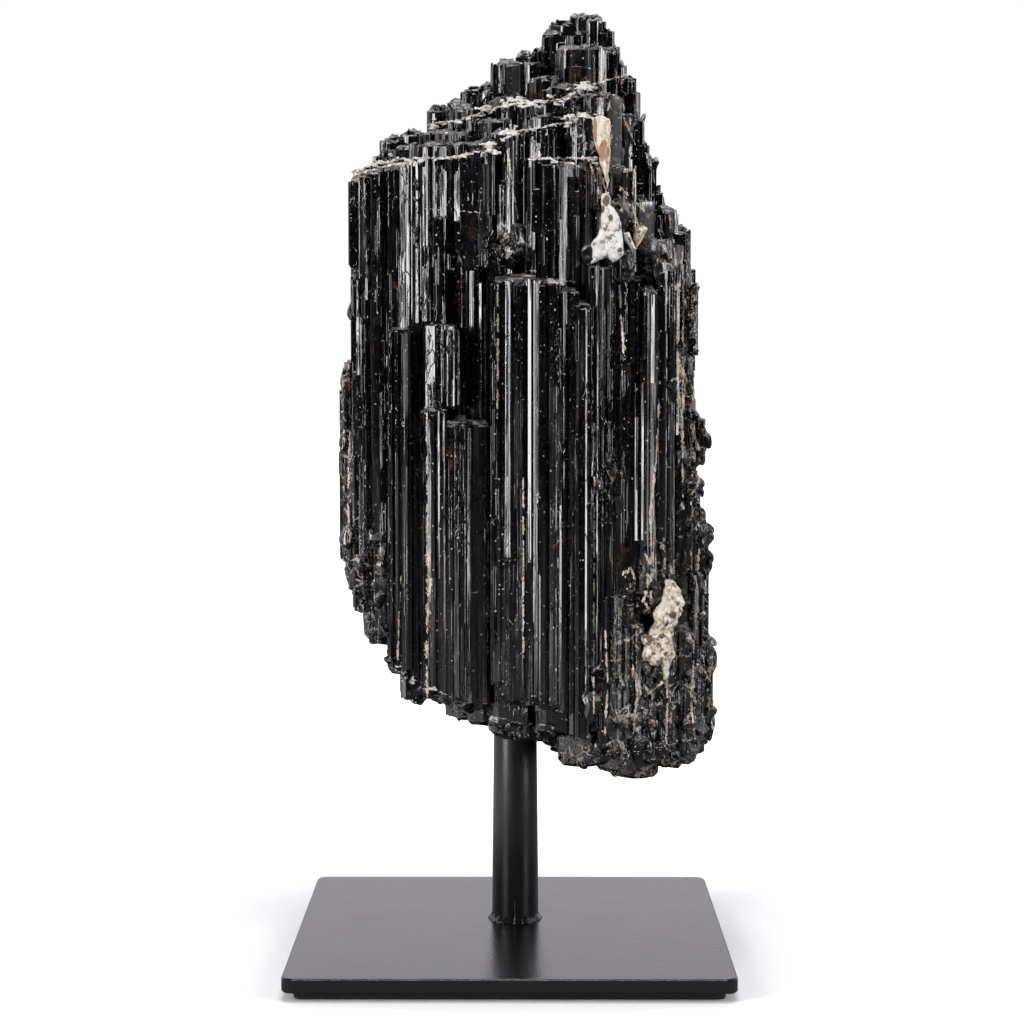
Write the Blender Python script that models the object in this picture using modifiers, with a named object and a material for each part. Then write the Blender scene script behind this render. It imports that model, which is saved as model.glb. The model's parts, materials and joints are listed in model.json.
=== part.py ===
"""A black tourmaline specimen on a steel display stand.

Metres, +Z up. The origin is on the table, under the middle of the square foot. The crystals stand upright,
side by side: each is a prism with uneven flat faces, and all of them are grown into one solid. Paler
feldspar fills pockets between them on the front right. The specimen is drilled from below and sits on a
round post, which is welded to the plate.
"""

import math
import random

import bmesh
import bpy
from mathutils import Matrix, Vector, noise

FIT_GAP = 0.0003  # left between pieces that touch
POCKET_GAP = 0.0004

# The stand
PLATE_SIDE = 0.120
PLATE_THICKNESS = 0.004
PLATE_CORNER_RADIUS = 0.003
PLATE_EDGE_ROUND = 0.0004
PAD_SIDE = 0.114
PAD_THICKNESS = 0.002
PAD_CORNER_RADIUS = 0.002
POST_X = 0.0014
POST_Y = 0.0073
POST_FOOT_RADIUS = 0.0067
POST_TOP_RADIUS = 0.0060
POST_SIDES = 32
WELD_WIDTH = 0.0010
WELD_HEIGHT = 0.0012

PLATE_BOTTOM = PAD_THICKNESS + FIT_GAP
PLATE_TOP = PLATE_BOTTOM + PLATE_THICKNESS
POST_BOTTOM = PLATE_TOP + FIT_GAP
POST_TOP = 0.082  # inside the drilled socket

# The specimen's plan, anticlockwise from the front left
PLAN = (
    (-0.0430, -0.0100), (-0.0385, -0.0160), (-0.0295, -0.0200), (-0.0150, -0.0230), (0.0000, -0.0260),
    (0.0150, -0.0270), (0.0280, -0.0245), (0.0385, -0.0195), (0.0465, -0.0130), (0.0505, -0.0030),
    (0.0510, 0.0080), (0.0480, 0.0200), (0.0400, 0.0300), (0.0265, 0.0365), (0.0070, 0.0390),
    (-0.0130, 0.0370), (-0.0295, 0.0305), (-0.0400, 0.0200), (-0.0445, 0.0080), (-0.0452, -0.0010),
)
FRONT_EDGES = 8  # of the plan's edges, the number along the front

# How far the sides stand out from the plan, as (height, distance)
LEFT_REACH = (
    (0.105, 0.0000), (0.115, 0.0028), (0.160, 0.0028), (0.166, -0.0036), (0.240, -0.0036),
)
RIGHT_REACH = (
    (0.050, 0.0045), (0.060, 0.0070), (0.088, 0.0070), (0.095, 0.0055), (0.120, 0.0050),
    (0.126, 0.0020), (0.144, 0.0010), (0.150, -0.0015), (0.187, -0.0015), (0.195, -0.0020),
    (0.250, -0.0050),
)

# Heights against x: the skyline of the crown, the top of the front face, and the lowest line of the keel
CROWN = (
    (-0.0460, 0.2130), (-0.0452, 0.2190), (-0.0400, 0.2235), (-0.0360, 0.2290), (-0.0275, 0.2325),
    (-0.0225, 0.2380), (-0.0130, 0.2430), (-0.0075, 0.2455), (-0.0040, 0.2500), (0.0020, 0.2530),
    (0.0060, 0.2550), (0.0095, 0.2590), (0.0120, 0.2630), (0.0175, 0.2650), (0.0250, 0.2645),
    (0.0270, 0.2600), (0.0300, 0.2530), (0.0330, 0.2460), (0.0350, 0.2380), (0.0375, 0.2280),
    (0.0405, 0.2160), (0.0460, 0.2100), (0.0485, 0.2010), (0.0515, 0.1890), (0.0550, 0.1500),
)
FRONT_LEDGE = (
    (-0.0465, 0.2130), (-0.0435, 0.2175), (-0.0390, 0.2190), (-0.0290, 0.2225), (0.0000, 0.2260),
    (0.0175, 0.2285), (0.0255, 0.2275), (0.0285, 0.2110), (0.0390, 0.1990), (0.0550, 0.1845),
)
KEEL = (
    (-0.0484, 0.1265), (-0.0460, 0.1150), (-0.0440, 0.1060), (-0.0415, 0.1000), (-0.0385, 0.0930),
    (-0.0345, 0.0855), (-0.0305, 0.0795), (-0.0245, 0.0750), (-0.0190, 0.0690), (-0.0135, 0.0662),
    (-0.0075, 0.0640), (0.0000, 0.0610), (0.0095, 0.0590), (0.0150, 0.0545), (0.0210, 0.0528),
    (0.0265, 0.0505), (0.0315, 0.0497), (0.0380, 0.0496), (0.0440, 0.0522), (0.0480, 0.0560),
    (0.0510, 0.0580), (0.0550, 0.0600), (0.0585, 0.0645),
)
CORE_MIDDLE = (0.0050, 0.0070)
CORE_FRONT_Y = -0.0150
CORE_SHARE = 0.915  # of the way from the middle to the plan's edge
CORE_START = 9  # the plan's point that lies nearest to +X
CORE_SINK = 0.0080
FRONT_Y = -0.0200
RIDGE_Y = 0.0080
TERRACES = 4
BACK_FALL = 0.75  # the crown's fall behind the ridge, in metres for each metre
KEEL_FRONT_RISE = 0.40
KEEL_BACK_RISE = 0.35
KEEL_LEVEL = (-0.0060, 0.0200)  # from front to back, where the keel is lowest

# The crystals of the front and the skyline, placed one by one: low x, high x, front y, top z, bottom z
LEFT_BLOCK = (
    (-0.0440, -0.0403, -0.0130, 0.2185, 0.1925), (-0.0440, -0.0398, -0.0125, 0.1920, 0.1640),
    (-0.0438, -0.0380, -0.0100, 0.1650, 0.1080), (-0.0479, -0.0430, -0.0030, 0.1640, 0.1110),
    (-0.0410, -0.0365, -0.0160, 0.2198, 0.1115), (-0.0375, -0.0325, -0.0185, 0.2208, 0.0900),
    (-0.0335, -0.0285, -0.0200, 0.2215, 0.0820), (-0.0295, -0.0235, -0.0225, 0.2222, 0.0745),
    (-0.0323, -0.0266, -0.0255, 0.1772, 0.0825), (-0.0425, -0.0380, -0.0125, 0.1120, 0.1000),
    (-0.0392, -0.0330, -0.0175, 0.1015, 0.0890),
)
MIDDLE_BLOCK = (
    (-0.0241, -0.0160, -0.0190, 0.2225, 0.0730), (-0.0170, -0.0072, -0.0185, 0.2235, 0.0710),
    (-0.0233, -0.0170, -0.0225, 0.2085, 0.1765), (-0.0153, -0.0082, -0.0220, 0.2080, 0.2000),
    (-0.0150, -0.0078, -0.0205, 0.2005, 0.1500), (-0.0228, -0.0143, -0.0260, 0.1778, 0.1540),
    (-0.0233, -0.0171, -0.0290, 0.1556, 0.0755), (-0.0185, -0.0119, -0.0280, 0.1525, 0.0740),
    (-0.0127, -0.0064, -0.0270, 0.1514, 0.0736), (-0.0079, -0.0005, -0.0170, 0.2252, 0.0755),
)
CENTRE_BLOCK = (
    (-0.0053, 0.0012, -0.0220, 0.2005, 0.1885), (-0.0013, 0.0061, -0.0200, 0.2244, 0.1885),
    (0.0055, 0.0127, -0.0240, 0.2223, 0.1875), (0.0120, 0.0188, -0.0235, 0.2220, 0.1875),
    (0.0176, 0.0245, -0.0225, 0.2215, 0.1875), (-0.0043, -0.0006, -0.0310, 0.1901, 0.0785),
    (-0.0014, 0.0042, -0.0325, 0.1903, 0.0760), (0.0034, 0.0081, -0.0315, 0.1904, 0.0743),
    (0.0073, 0.0132, -0.0312, 0.1898, 0.0723), (0.0123, 0.0182, -0.0298, 0.1875, 0.0713),
    (0.0170, 0.0223, -0.0290, 0.1841, 0.0643),
)
RIGHT_BLOCK = (
    (0.0205, 0.0281, -0.0275, 0.1948, 0.0655), (0.0272, 0.0353, -0.0250, 0.1914, 0.0910),
    (0.0338, 0.0402, -0.0240, 0.1880, 0.0995), (0.0394, 0.0445, -0.0205, 0.1941, 0.1020),
    (0.0433, 0.0480, -0.0150, 0.1960, 0.1120), (0.0440, 0.0498, -0.0080, 0.2045, 0.1880),
    (0.0459, 0.0526, -0.0085, 0.1885, 0.1685),
    (0.0455, 0.0512, -0.0080, 0.1690, 0.1515), (0.0473, 0.0550, -0.0065, 0.1524, 0.1372),
    (0.0472, 0.0532, -0.0060, 0.1374, 0.1250), (0.0494, 0.0565, -0.0070, 0.1252, 0.1067),
    (0.0493, 0.0560, -0.0080, 0.1077, 0.0890), (0.0496, 0.0582, -0.0140, 0.0903, 0.0615),
    (0.0343, 0.0410, -0.0190, 0.2005, 0.1940), (0.0392, 0.0470, -0.0080, 0.2100, 0.1940),
)
LOWER_BLOCK = (
    (0.0244, 0.0306, -0.0280, 0.1050, 0.0610), (0.0296, 0.0361, -0.0272, 0.0970, 0.0595),
    (0.0355, 0.0434, -0.0258, 0.0872, 0.0582), (0.0423, 0.0496, -0.0215, 0.0950, 0.0581),
)
SKYLINE = (
    (-0.0361, -0.0305, 0.0040, 0.2305, 0.2000), (-0.0311, -0.0232, 0.0050, 0.2323, 0.2050),
    (-0.0235, -0.0165, 0.0060, 0.2388, 0.2100), (-0.0176, -0.0126, 0.0080, 0.2410, 0.2150),
    (-0.0137, -0.0080, 0.0080, 0.2446, 0.2200), (-0.0086, -0.0041, 0.0080, 0.2457, 0.2200),
    (-0.0052, 0.0027, 0.0080, 0.2522, 0.2200), (0.0016, 0.0070, 0.0090, 0.2548, 0.2250),
    (0.0064, 0.0100, 0.0080, 0.2558, 0.2250), (0.0094, 0.0124, 0.0060, 0.2597, 0.2250),
    (0.0112, 0.0180, 0.0070, 0.2635, 0.2250), (0.0168, 0.0222, 0.0080, 0.2655, 0.2250),
    (0.0213, 0.0264, 0.0070, 0.2646, 0.2250), (0.0253, 0.0287, 0.0060, 0.2610, 0.2250),
    (0.0270, 0.0303, 0.0050, 0.2562, 0.2200), (0.0292, 0.0323, 0.0050, 0.2517, 0.2150),
    (0.0308, 0.0348, 0.0040, 0.2476, 0.2100), (0.0331, 0.0359, 0.0030, 0.2435, 0.2100),
    (0.0342, 0.0373, 0.0020, 0.2353, 0.2050), (0.0359, 0.0387, 0.0020, 0.2291, 0.2000),
    (0.0379, 0.0407, 0.0020, 0.2245, 0.1950), (0.0394, 0.0427, 0.0020, 0.2152, 0.1900),
)
CRYSTAL_DEPTH = 0.016  # from a front crystal's face to its back, inside the bundle
SKYLINE_DEPTH = 0.010
SIDE_STEPS = ((0.090, 0.140), (0.130, 0.200))  # between which heights the side crystals step in or out

# Broken, scaly masses at the lower right, the lower left and the right: low and high corner, and how many
RUBBLE = (
    ((0.0250, -0.0270, 0.0610), (0.0490, -0.0200, 0.0940), 12),
    ((-0.0425, -0.0150, 0.1000), (-0.0360, -0.0060, 0.1150), 5),
    ((0.0450, -0.0130, 0.1000), (0.0475, 0.0020, 0.1880), 4),
)

# Feldspar pockets: the middle, and the size from the middle to each side
UPPER_FELDSPAR = (
    ((0.0262, -0.0224, 0.1990), (0.0052, 0.0046, 0.0054)),
    ((0.0274, -0.0210, 0.2060), (0.0034, 0.0044, 0.0066)),
    ((0.0325, -0.0185, 0.2015), (0.0034, 0.0044, 0.0040)),
)
LOWER_FELDSPAR = (
    ((0.0448, -0.0200, 0.1018), (0.0038, 0.0050, 0.0070)),
    ((0.0406, -0.0225, 0.0907), (0.0044, 0.0046, 0.0076)),
)
STRIP_FELDSPAR = (((0.0256, -0.0180, 0.2260), (0.0019, 0.0036, 0.0088)),)


def value_at(profile, at):
    """The second value of a line of points, where the first value is at."""
    if at <= profile[0][0]:
        return profile[0][1]
    for (start, low), (end, high) in zip(profile, profile[1:]):
        if at <= end:
            return low + (high - low) * (at - start) / (end - start)
    return profile[-1][1]


def crown_at(x, y, half=0.0):
    """The crown rises from the front ledge to the ridge in terraces, then falls to the back.

    Half is half the width of the crystal that ends there: neither of its edges rises over the skyline.
    """
    ridge = min(value_at(CROWN, x - half), value_at(CROWN, x + half))
    ledge = min(value_at(FRONT_LEDGE, x), ridge)
    share = min(max((y - FRONT_Y) / (RIDGE_Y - FRONT_Y), 0.0), 1.0)
    terrace = math.ceil(share * TERRACES) / TERRACES
    return ledge + (ridge - ledge) * terrace - BACK_FALL * max(y - RIDGE_Y, 0.0)


def keel_at(x, y):
    """The keel rises to the front and to the back of a level strip."""
    front_rise = KEEL_FRONT_RISE * max(KEEL_LEVEL[0] - y, 0.0)
    back_rise = KEEL_BACK_RISE * max(y - KEEL_LEVEL[1], 0.0)
    return value_at(KEEL, x) + front_rise + back_rise


def plan_margin(x, y):
    """How far a point lies inside the plan."""
    margins = []
    for (x0, y0), (x1, y1) in zip(PLAN, PLAN[1:] + PLAN[:1]):
        run = math.hypot(x1 - x0, y1 - y0)
        margins.append(((x1 - x0) * (y - y0) - (y1 - y0) * (x - x0)) / run)
    return min(margins)


def squared(along, power=0.72):
    """Turns a cosine or a sine so that an ellipse becomes squarer. A power of 0 would make a rectangle."""
    return math.copysign(abs(along) ** power, along)


def add_crystal(bm, middle, half_size, turn, span, sides, draw, taper=1.0, front_slope=0.0):
    """A prism with uneven faces, whose ends are broken off a little askew.

    Half_size is half its size across x and y before the turn, and span its bottom and top. A front_slope
    makes the top lower at the front.
    """
    low, high = span
    half = (low + high) / 2
    made = bmesh.ops.create_cone(
        bm, cap_ends=True, segments=sides, radius1=taper, radius2=1.0, depth=high - low,
        matrix=Matrix.Translation((*middle, half)),
    )
    stretch = [draw.uniform(0.88, 1.03) for _ in range(sides)]
    lean = [draw.uniform(-0.18, 0.18) * math.tau / sides for _ in range(sides)]
    low_slope = (draw.uniform(-0.15, 0.15), draw.uniform(-0.15, 0.15))
    high_slope = (draw.uniform(-0.10, 0.10), draw.uniform(-0.06, 0.06) + front_slope)
    centre = Vector((middle[0], middle[1], 0.0))
    for vert in made["verts"]:
        offset = vert.co - centre
        around = math.atan2(offset.y, offset.x) % math.tau
        index = round(around / math.tau * sides) % sides
        scale = math.hypot(offset.x, offset.y) * stretch[index]
        around += lean[index]
        across = squared(math.cos(around)) * half_size[0] * scale
        along = squared(math.sin(around)) * half_size[1] * scale
        x = across * math.cos(turn) - along * math.sin(turn)
        y = across * math.sin(turn) + along * math.cos(turn)
        slope = high_slope if vert.co.z > half else low_slope
        vert.co = (middle[0] + x, middle[1] + y, vert.co.z + slope[0] * x + slope[1] * y)


def add_placed_crystals(bm, blocks, depth, sides, seed):
    """Those that were placed one by one. Their backs reach into the bundle."""
    for number, (low_x, high_x, front_y, top, bottom) in enumerate(blocks):
        draw = random.Random(seed + number)
        middle = ((low_x + high_x) / 2, front_y + depth / 2)
        half_size = ((high_x - low_x) / 2 * 1.05, depth / 2)
        turn = draw.uniform(-0.08, 0.08)
        add_crystal(bm, middle, half_size, turn, (bottom, top), sides, draw, front_slope=0.12)


def add_side_crystals(bm):
    """The sides and the back: crystals along the plan's edge, each in three lengths that step in and out."""
    draw = random.Random(7)
    shape = random.Random(8)
    for (x0, y0), (x1, y1) in list(zip(PLAN, PLAN[1:] + PLAN[:1]))[FRONT_EDGES:]:
        run = math.hypot(x1 - x0, y1 - y0)
        along = ((x1 - x0) / run, (y1 - y0) / run)
        outward = (along[1], -along[0])
        count = max(1, round(run / 0.0098))
        for step in range(count):
            place = (step + 0.5 + draw.uniform(-0.15, 0.15)) / count * run
            x, y = x0 + along[0] * place, y0 + along[1] * place
            half = draw.uniform(0.0056, 0.0070)
            turn = math.atan2(along[1], along[0]) + draw.uniform(-0.2, 0.2)
            top = crown_at(x, y, half * 0.5) - draw.uniform(0.000, 0.008)
            bottom = keel_at(x, y) + draw.uniform(0.000, 0.006)
            steps = sorted(draw.uniform(low, high) for low, high in SIDE_STEPS)
            steps = [height for height in steps if bottom + 0.006 < height < top - 0.006]
            cuts = [bottom, *steps, top]
            for low, high in zip(cuts, cuts[1:]):
                reach = value_at(RIGHT_REACH if x > 0 else LEFT_REACH, (low + high) / 2)
                inset = half * 0.92 + draw.uniform(0.0000, 0.0022)
                out = reach * abs(outward[0]) - inset
                spot = (x + outward[0] * out, y + outward[1] * out)
                add_crystal(bm, spot, (half, half), turn, (low - 0.002, high), 7, shape)


def add_crown_crystals(bm):
    """The ends that make the terraces of the crown, on a hexagonal grid."""
    draw = random.Random(21)
    shape = random.Random(22)
    spacing = 0.0098
    row_step = spacing * math.sqrt(3) / 2
    for row in range(-4, 7):
        for column in range(-7, 8):
            x = (column + 0.5 * (row % 2)) * spacing + draw.uniform(-0.0014, 0.0014)
            y = row * row_step + draw.uniform(-0.0014, 0.0014)
            half = draw.uniform(0.0054, 0.0068)
            top = crown_at(x, y, half * 0.7) + draw.uniform(-0.0030, 0.0006)
            turn = draw.uniform(0, 1)
            if plan_margin(x, y) > 0.0035:
                add_crystal(bm, (x, y), (half, half), turn, (top - 0.035, top), 6, shape, front_slope=0.10)


def add_keel_crystals(bm):
    """The broken lower ends, which narrow a little."""
    draw = random.Random(35)
    shape = random.Random(36)
    spacing = 0.0120
    row_step = spacing * math.sqrt(3) / 2
    for row in range(-4, 6):
        for column in range(-6, 8):
            x = (column + 0.5 * (row % 2)) * spacing + draw.uniform(-0.0016, 0.0016)
            y = row * row_step + draw.uniform(-0.0016, 0.0016)
            half = draw.uniform(0.0064, 0.0082)
            low = keel_at(x, y) + draw.uniform(-0.0012, 0.0022)
            turn = draw.uniform(0, 1)
            if plan_margin(x, y) > 0.0030:
                add_crystal(bm, (x, y), (half, half), turn, (low, low + 0.030), 6, shape, taper=0.80)


def core_mesh():
    """The solid inside: the plan drawn in a little, from above the keel to below the crown."""
    bm = bmesh.new()
    count = len(PLAN)
    bmesh.ops.create_cone(
        bm, cap_ends=True, cap_tris=True, segments=count, radius1=1.0, radius2=1.0, depth=2.0
    )
    for vert in bm.verts:
        x, y = CORE_MIDDLE
        if math.hypot(vert.co.x, vert.co.y) > 0.5:
            step = round(math.atan2(vert.co.y, vert.co.x) / math.tau * count)
            edge_x, edge_y = PLAN[(step + CORE_START) % count]
            x += (edge_x - x) * CORE_SHARE
            y = max(y + (edge_y - y) * CORE_SHARE, CORE_FRONT_Y)
        z = crown_at(x, y, 0.004) - CORE_SINK if vert.co.z > 0 else keel_at(x, y) + CORE_SINK
        vert.co = (x, y, z)
    return bm


def add_rubble(bm):
    """Short broken pieces that stand half out of the surface."""
    draw = random.Random(51)
    shape = random.Random(52)
    for low_corner, high_corner, count in RUBBLE:
        for _ in range(count):
            x, y, z = (draw.uniform(low, high) for low, high in zip(low_corner, high_corner))
            half = draw.uniform(0.0022, 0.0042)
            height = half * draw.uniform(1.4, 2.8)
            turn = draw.uniform(0, 3)
            add_crystal(bm, (x, y), (half, half), turn, (z - height, z + height), 6, shape, taper=0.7)


def lump_mesh(middle, size, gap, seed):
    """A rough rounded body, larger by gap on every side than its size."""
    bm = bmesh.new()
    made = bmesh.ops.create_icosphere(bm, subdivisions=2, radius=1.0)
    for vert in made["verts"]:
        rough = 1.0 + 0.30 * noise.noise(vert.co * 1.7 + Vector((seed, 0.0, 0.0)))
        blocky = [squared(along) for along in vert.co]
        vert.co = [start + along * (half * rough + gap) for start, along, half in zip(middle, blocky, size)]
    return bm


def mesh_object(name, bm, collection, material=None):
    mesh = bpy.data.meshes.new(name)
    bm.to_mesh(mesh)
    bm.free()
    obj = bpy.data.objects.new(name, mesh)
    collection.objects.link(obj)
    if material:
        mesh.materials.append(material)
    return obj


def finish(name, colour, roughness, metallic=0.0):
    material = bpy.data.materials.new(name)
    material.use_nodes = True
    shader = material.node_tree.nodes["Principled BSDF"]
    shader.inputs["Base Color"].default_value = (*colour, 1.0)
    shader.inputs["Roughness"].default_value = roughness
    shader.inputs["Metallic"].default_value = metallic
    return material


def hide_helper(obj):
    obj.hide_render = True
    obj.display_type = "WIRE"


def boolean(obj, operation, other):
    modifier = obj.modifiers.new(operation.title(), "BOOLEAN")
    modifier.operation = operation
    modifier.object = other
    modifier.solver = "EXACT"
    return modifier


def rounded_slab(name, side, thickness, corner_radius, bottom, parts, material):
    """A square slab with rounded corners and broken edges."""
    bm = bmesh.new()
    matrix = Matrix.LocRotScale((0.0, 0.0, bottom + thickness / 2), None, (side, side, thickness))
    bmesh.ops.create_cube(bm, size=1.0, matrix=matrix)
    upright = [
        edge for edge in bm.edges if abs(edge.verts[0].co.z - edge.verts[1].co.z) > thickness / 2
    ]
    bmesh.ops.bevel(bm, geom=upright, offset=corner_radius, segments=4, profile=0.5, affect="EDGES")
    slab = mesh_object(name, bm, parts, material)
    bevel = slab.modifiers.new("Edges", "BEVEL")
    bevel.width = PLATE_EDGE_ROUND
    bevel.segments = 1
    bevel.limit_method = "ANGLE"
    bevel.angle_limit = math.radians(60)
    return slab


def build_stand(parts):
    steel = finish("black_powder_coat", (0.022, 0.021, 0.022), 0.42)
    rubber = finish("black_rubber", (0.018, 0.018, 0.018), 0.75)
    rounded_slab("base_pad", PAD_SIDE, PAD_THICKNESS, PAD_CORNER_RADIUS, 0.0, parts, rubber)
    rounded_slab("base_plate", PLATE_SIDE, PLATE_THICKNESS, PLATE_CORNER_RADIUS, PLATE_BOTTOM, parts, steel)

    post = bmesh.new()
    length = POST_TOP - POST_BOTTOM
    middle = Matrix.Translation((POST_X, POST_Y, POST_BOTTOM + length / 2))
    bmesh.ops.create_cone(
        post, cap_ends=True, segments=POST_SIDES, radius1=POST_FOOT_RADIUS, radius2=POST_TOP_RADIUS,
        depth=length, matrix=middle,
    )
    post_object = mesh_object("post", post, parts, steel)
    post_object.data.shade_smooth()
    post_object.data.set_sharp_from_angle(angle=math.radians(40))
    build_weld(parts, steel)


def build_weld(parts, steel):
    """The weld round the foot of the post: a low bead, turned about the post's axis."""
    inner = POST_FOOT_RADIUS + FIT_GAP
    bottom = PLATE_TOP + FIT_GAP
    profile = bmesh.new()
    points = [(inner, WELD_HEIGHT), (inner + WELD_WIDTH * 0.7, WELD_HEIGHT * 0.7), (inner + WELD_WIDTH, 0.0)]
    points.append((inner, 0.0))
    verts = [profile.verts.new((radius, 0.0, bottom + height)) for radius, height in points]
    for first, second in zip(verts, verts[1:] + verts[:1]):
        profile.edges.new((first, second))
    weld = mesh_object("weld_bead", profile, parts, steel)
    weld.location = (POST_X, POST_Y, 0.0)
    screw = weld.modifiers.new("Turn", "SCREW")
    screw.steps = POST_SIDES
    screw.render_steps = POST_SIDES
    screw.use_merge_vertices = True
    screw.merge_threshold = 0.00005
    screw.use_smooth_shade = False


def build_crystals(parts, helpers):
    """All the prisms in one mesh, joined by a union of that mesh with itself and with a core."""
    grown = bmesh.new()
    front = LEFT_BLOCK + MIDDLE_BLOCK + CENTRE_BLOCK + RIGHT_BLOCK + LOWER_BLOCK
    add_placed_crystals(grown, front, CRYSTAL_DEPTH, 10, seed=100)
    add_placed_crystals(grown, SKYLINE, SKYLINE_DEPTH, 7, seed=200)
    add_side_crystals(grown)
    add_crown_crystals(grown)
    add_keel_crystals(grown)
    add_rubble(grown)
    bundle = mesh_object("tourmaline_bundle", grown, helpers)
    hide_helper(bundle)

    black = finish("black_tourmaline", (0.010, 0.010, 0.012), 0.20)
    tourmaline = mesh_object("tourmaline", core_mesh(), parts, black)
    boolean(tourmaline, "UNION", bundle).use_self = True
    return tourmaline


def drill_socket(tourmaline, helpers):
    socket = bmesh.new()
    top = POST_TOP + FIT_GAP
    bottom = 0.030
    radius = POST_TOP_RADIUS + 0.0006
    bmesh.ops.create_cone(
        socket, cap_ends=True, segments=POST_SIDES, radius1=radius, radius2=radius, depth=top - bottom,
        matrix=Matrix.Translation((POST_X, POST_Y, (top + bottom) / 2)),
    )
    drill = mesh_object("socket_cutter", socket, helpers)
    hide_helper(drill)
    boolean(tourmaline, "DIFFERENCE", drill)


def lump_object(name, lumps, gap, seed, collection, helpers, material=None):
    """The lumps of one patch, grown into one body."""
    whole = mesh_object(name, lump_mesh(*lumps[0], gap, seed), collection, material)
    for number, (middle, size) in enumerate(lumps[1:], start=2):
        rough = lump_mesh(middle, size, gap, seed + number)
        lump = mesh_object(f"{name}_lump_{number}", rough, helpers)
        hide_helper(lump)
        boolean(whole, "UNION", lump)
    return whole


def set_feldspar(tourmaline, parts, helpers):
    """Each patch of feldspar fills a pocket that is cut into the tourmaline."""
    cream = finish("cream_feldspar", (0.62, 0.54, 0.46), 0.65)
    white = finish("white_feldspar", (0.78, 0.74, 0.70), 0.60)
    patches = (
        ("feldspar_upper", UPPER_FELDSPAR, white, 1.0),
        ("feldspar_lower", LOWER_FELDSPAR, cream, 2.0),
        ("feldspar_strip", STRIP_FELDSPAR, cream, 3.0),
    )
    for name, lumps, material, seed in patches:
        lump_object(name, lumps, 0.0, seed, parts, helpers, material)
        pocket = lump_object(name + "_cutter", lumps, POCKET_GAP, seed, helpers, helpers)
        hide_helper(pocket)
        boolean(tourmaline, "DIFFERENCE", pocket)


def keep_outer_shell(obj):
    """Makes the union final and leaves out the closed voids between crystals, so that the stone is solid."""
    graph = bpy.context.evaluated_depsgraph_get()
    grown = bpy.data.meshes.new_from_object(obj.evaluated_get(graph))
    bm = bmesh.new()
    bm.from_mesh(grown)
    reached = {max(bm.verts, key=lambda vert: vert.co.z)}
    edge_of_search = list(reached)
    while edge_of_search:
        vert = edge_of_search.pop()
        for edge in vert.link_edges:
            other = edge.other_vert(vert)
            if other not in reached:
                reached.add(other)
                edge_of_search.append(other)
    voids = [vert for vert in bm.verts if vert not in reached]
    bmesh.ops.delete(bm, geom=voids, context="VERTS")
    bm.to_mesh(grown)
    bm.free()
    obj.modifiers.clear()
    obj.data = grown


def main():
    for obj in list(bpy.data.objects):
        bpy.data.objects.remove(obj)
    parts = bpy.data.collections.new("tourmaline_specimen")
    helpers = bpy.data.collections.new("cutters")
    for collection in (parts, helpers):
        bpy.context.scene.collection.children.link(collection)
    build_stand(parts)
    tourmaline = build_crystals(parts, helpers)
    drill_socket(tourmaline, helpers)
    set_feldspar(tourmaline, parts, helpers)
    keep_outer_shell(tourmaline)


main()
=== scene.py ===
import bisect
import json
import math
import random

import bpy
from mathutils import Euler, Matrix, Quaternion, Vector, noise

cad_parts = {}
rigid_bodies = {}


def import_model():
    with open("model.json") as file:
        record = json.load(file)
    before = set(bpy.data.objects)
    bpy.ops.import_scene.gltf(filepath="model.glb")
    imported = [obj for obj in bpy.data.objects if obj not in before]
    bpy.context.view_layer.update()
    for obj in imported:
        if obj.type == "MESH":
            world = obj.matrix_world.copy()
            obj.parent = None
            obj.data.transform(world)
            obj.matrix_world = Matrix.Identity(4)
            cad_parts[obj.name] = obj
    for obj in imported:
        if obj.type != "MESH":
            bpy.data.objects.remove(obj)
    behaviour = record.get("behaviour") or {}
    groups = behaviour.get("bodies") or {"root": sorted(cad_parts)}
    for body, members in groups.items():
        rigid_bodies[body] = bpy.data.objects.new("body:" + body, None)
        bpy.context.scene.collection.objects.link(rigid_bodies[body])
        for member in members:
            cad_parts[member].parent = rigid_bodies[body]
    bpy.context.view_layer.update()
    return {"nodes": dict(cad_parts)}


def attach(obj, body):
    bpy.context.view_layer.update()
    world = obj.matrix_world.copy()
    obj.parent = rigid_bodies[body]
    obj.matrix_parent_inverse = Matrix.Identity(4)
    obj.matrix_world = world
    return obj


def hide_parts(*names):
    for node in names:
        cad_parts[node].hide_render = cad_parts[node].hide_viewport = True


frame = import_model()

scene = bpy.context.scene
nodes = frame["nodes"]


# helpers for objects

def tenths(table):
    # the tables of places below are in tenths of a millimetre
    return tuple(tenths(each) for each in table) if isinstance(table, tuple) else table / 10000


def activate(obj):
    bpy.ops.object.select_all(action="DESELECT")
    bpy.context.view_layer.objects.active = obj
    obj.select_set(True)


def applyModifiers(obj):
    activate(obj)
    for modifier in list(obj.modifiers):
        bpy.ops.object.modifier_apply(modifier=modifier.name)


def addPrimitive(name, operator, **settings):
    bpy.ops.object.select_all(action="DESELECT")
    operator(**settings)
    made = bpy.context.object
    made.name = name
    return made


def selectWhere(obj, kind, wanted):
    # leaves edit mode on, with only the wanted parts of one kind selected
    mesh = obj.data
    bpy.ops.object.mode_set(mode="EDIT")
    bpy.ops.mesh.select_mode(type=kind)
    bpy.ops.mesh.select_all(action="DESELECT")
    bpy.ops.object.mode_set(mode="OBJECT")
    for part in {"VERT": mesh.vertices, "EDGE": mesh.edges, "FACE": mesh.polygons}[kind]:
        part.select = wanted(part)
    bpy.ops.object.mode_set(mode="EDIT")


def finishPiece(piece, node, slot, material):
    piece.data.materials.clear()
    piece.data.materials.append(material)
    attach(piece, "root")
    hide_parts(node)


# helpers for materials

def plainMaterial(name):
    material = bpy.data.materials.new(name)
    material.use_nodes = True
    return material, material.node_tree, material.node_tree.nodes["Principled BSDF"]


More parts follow.
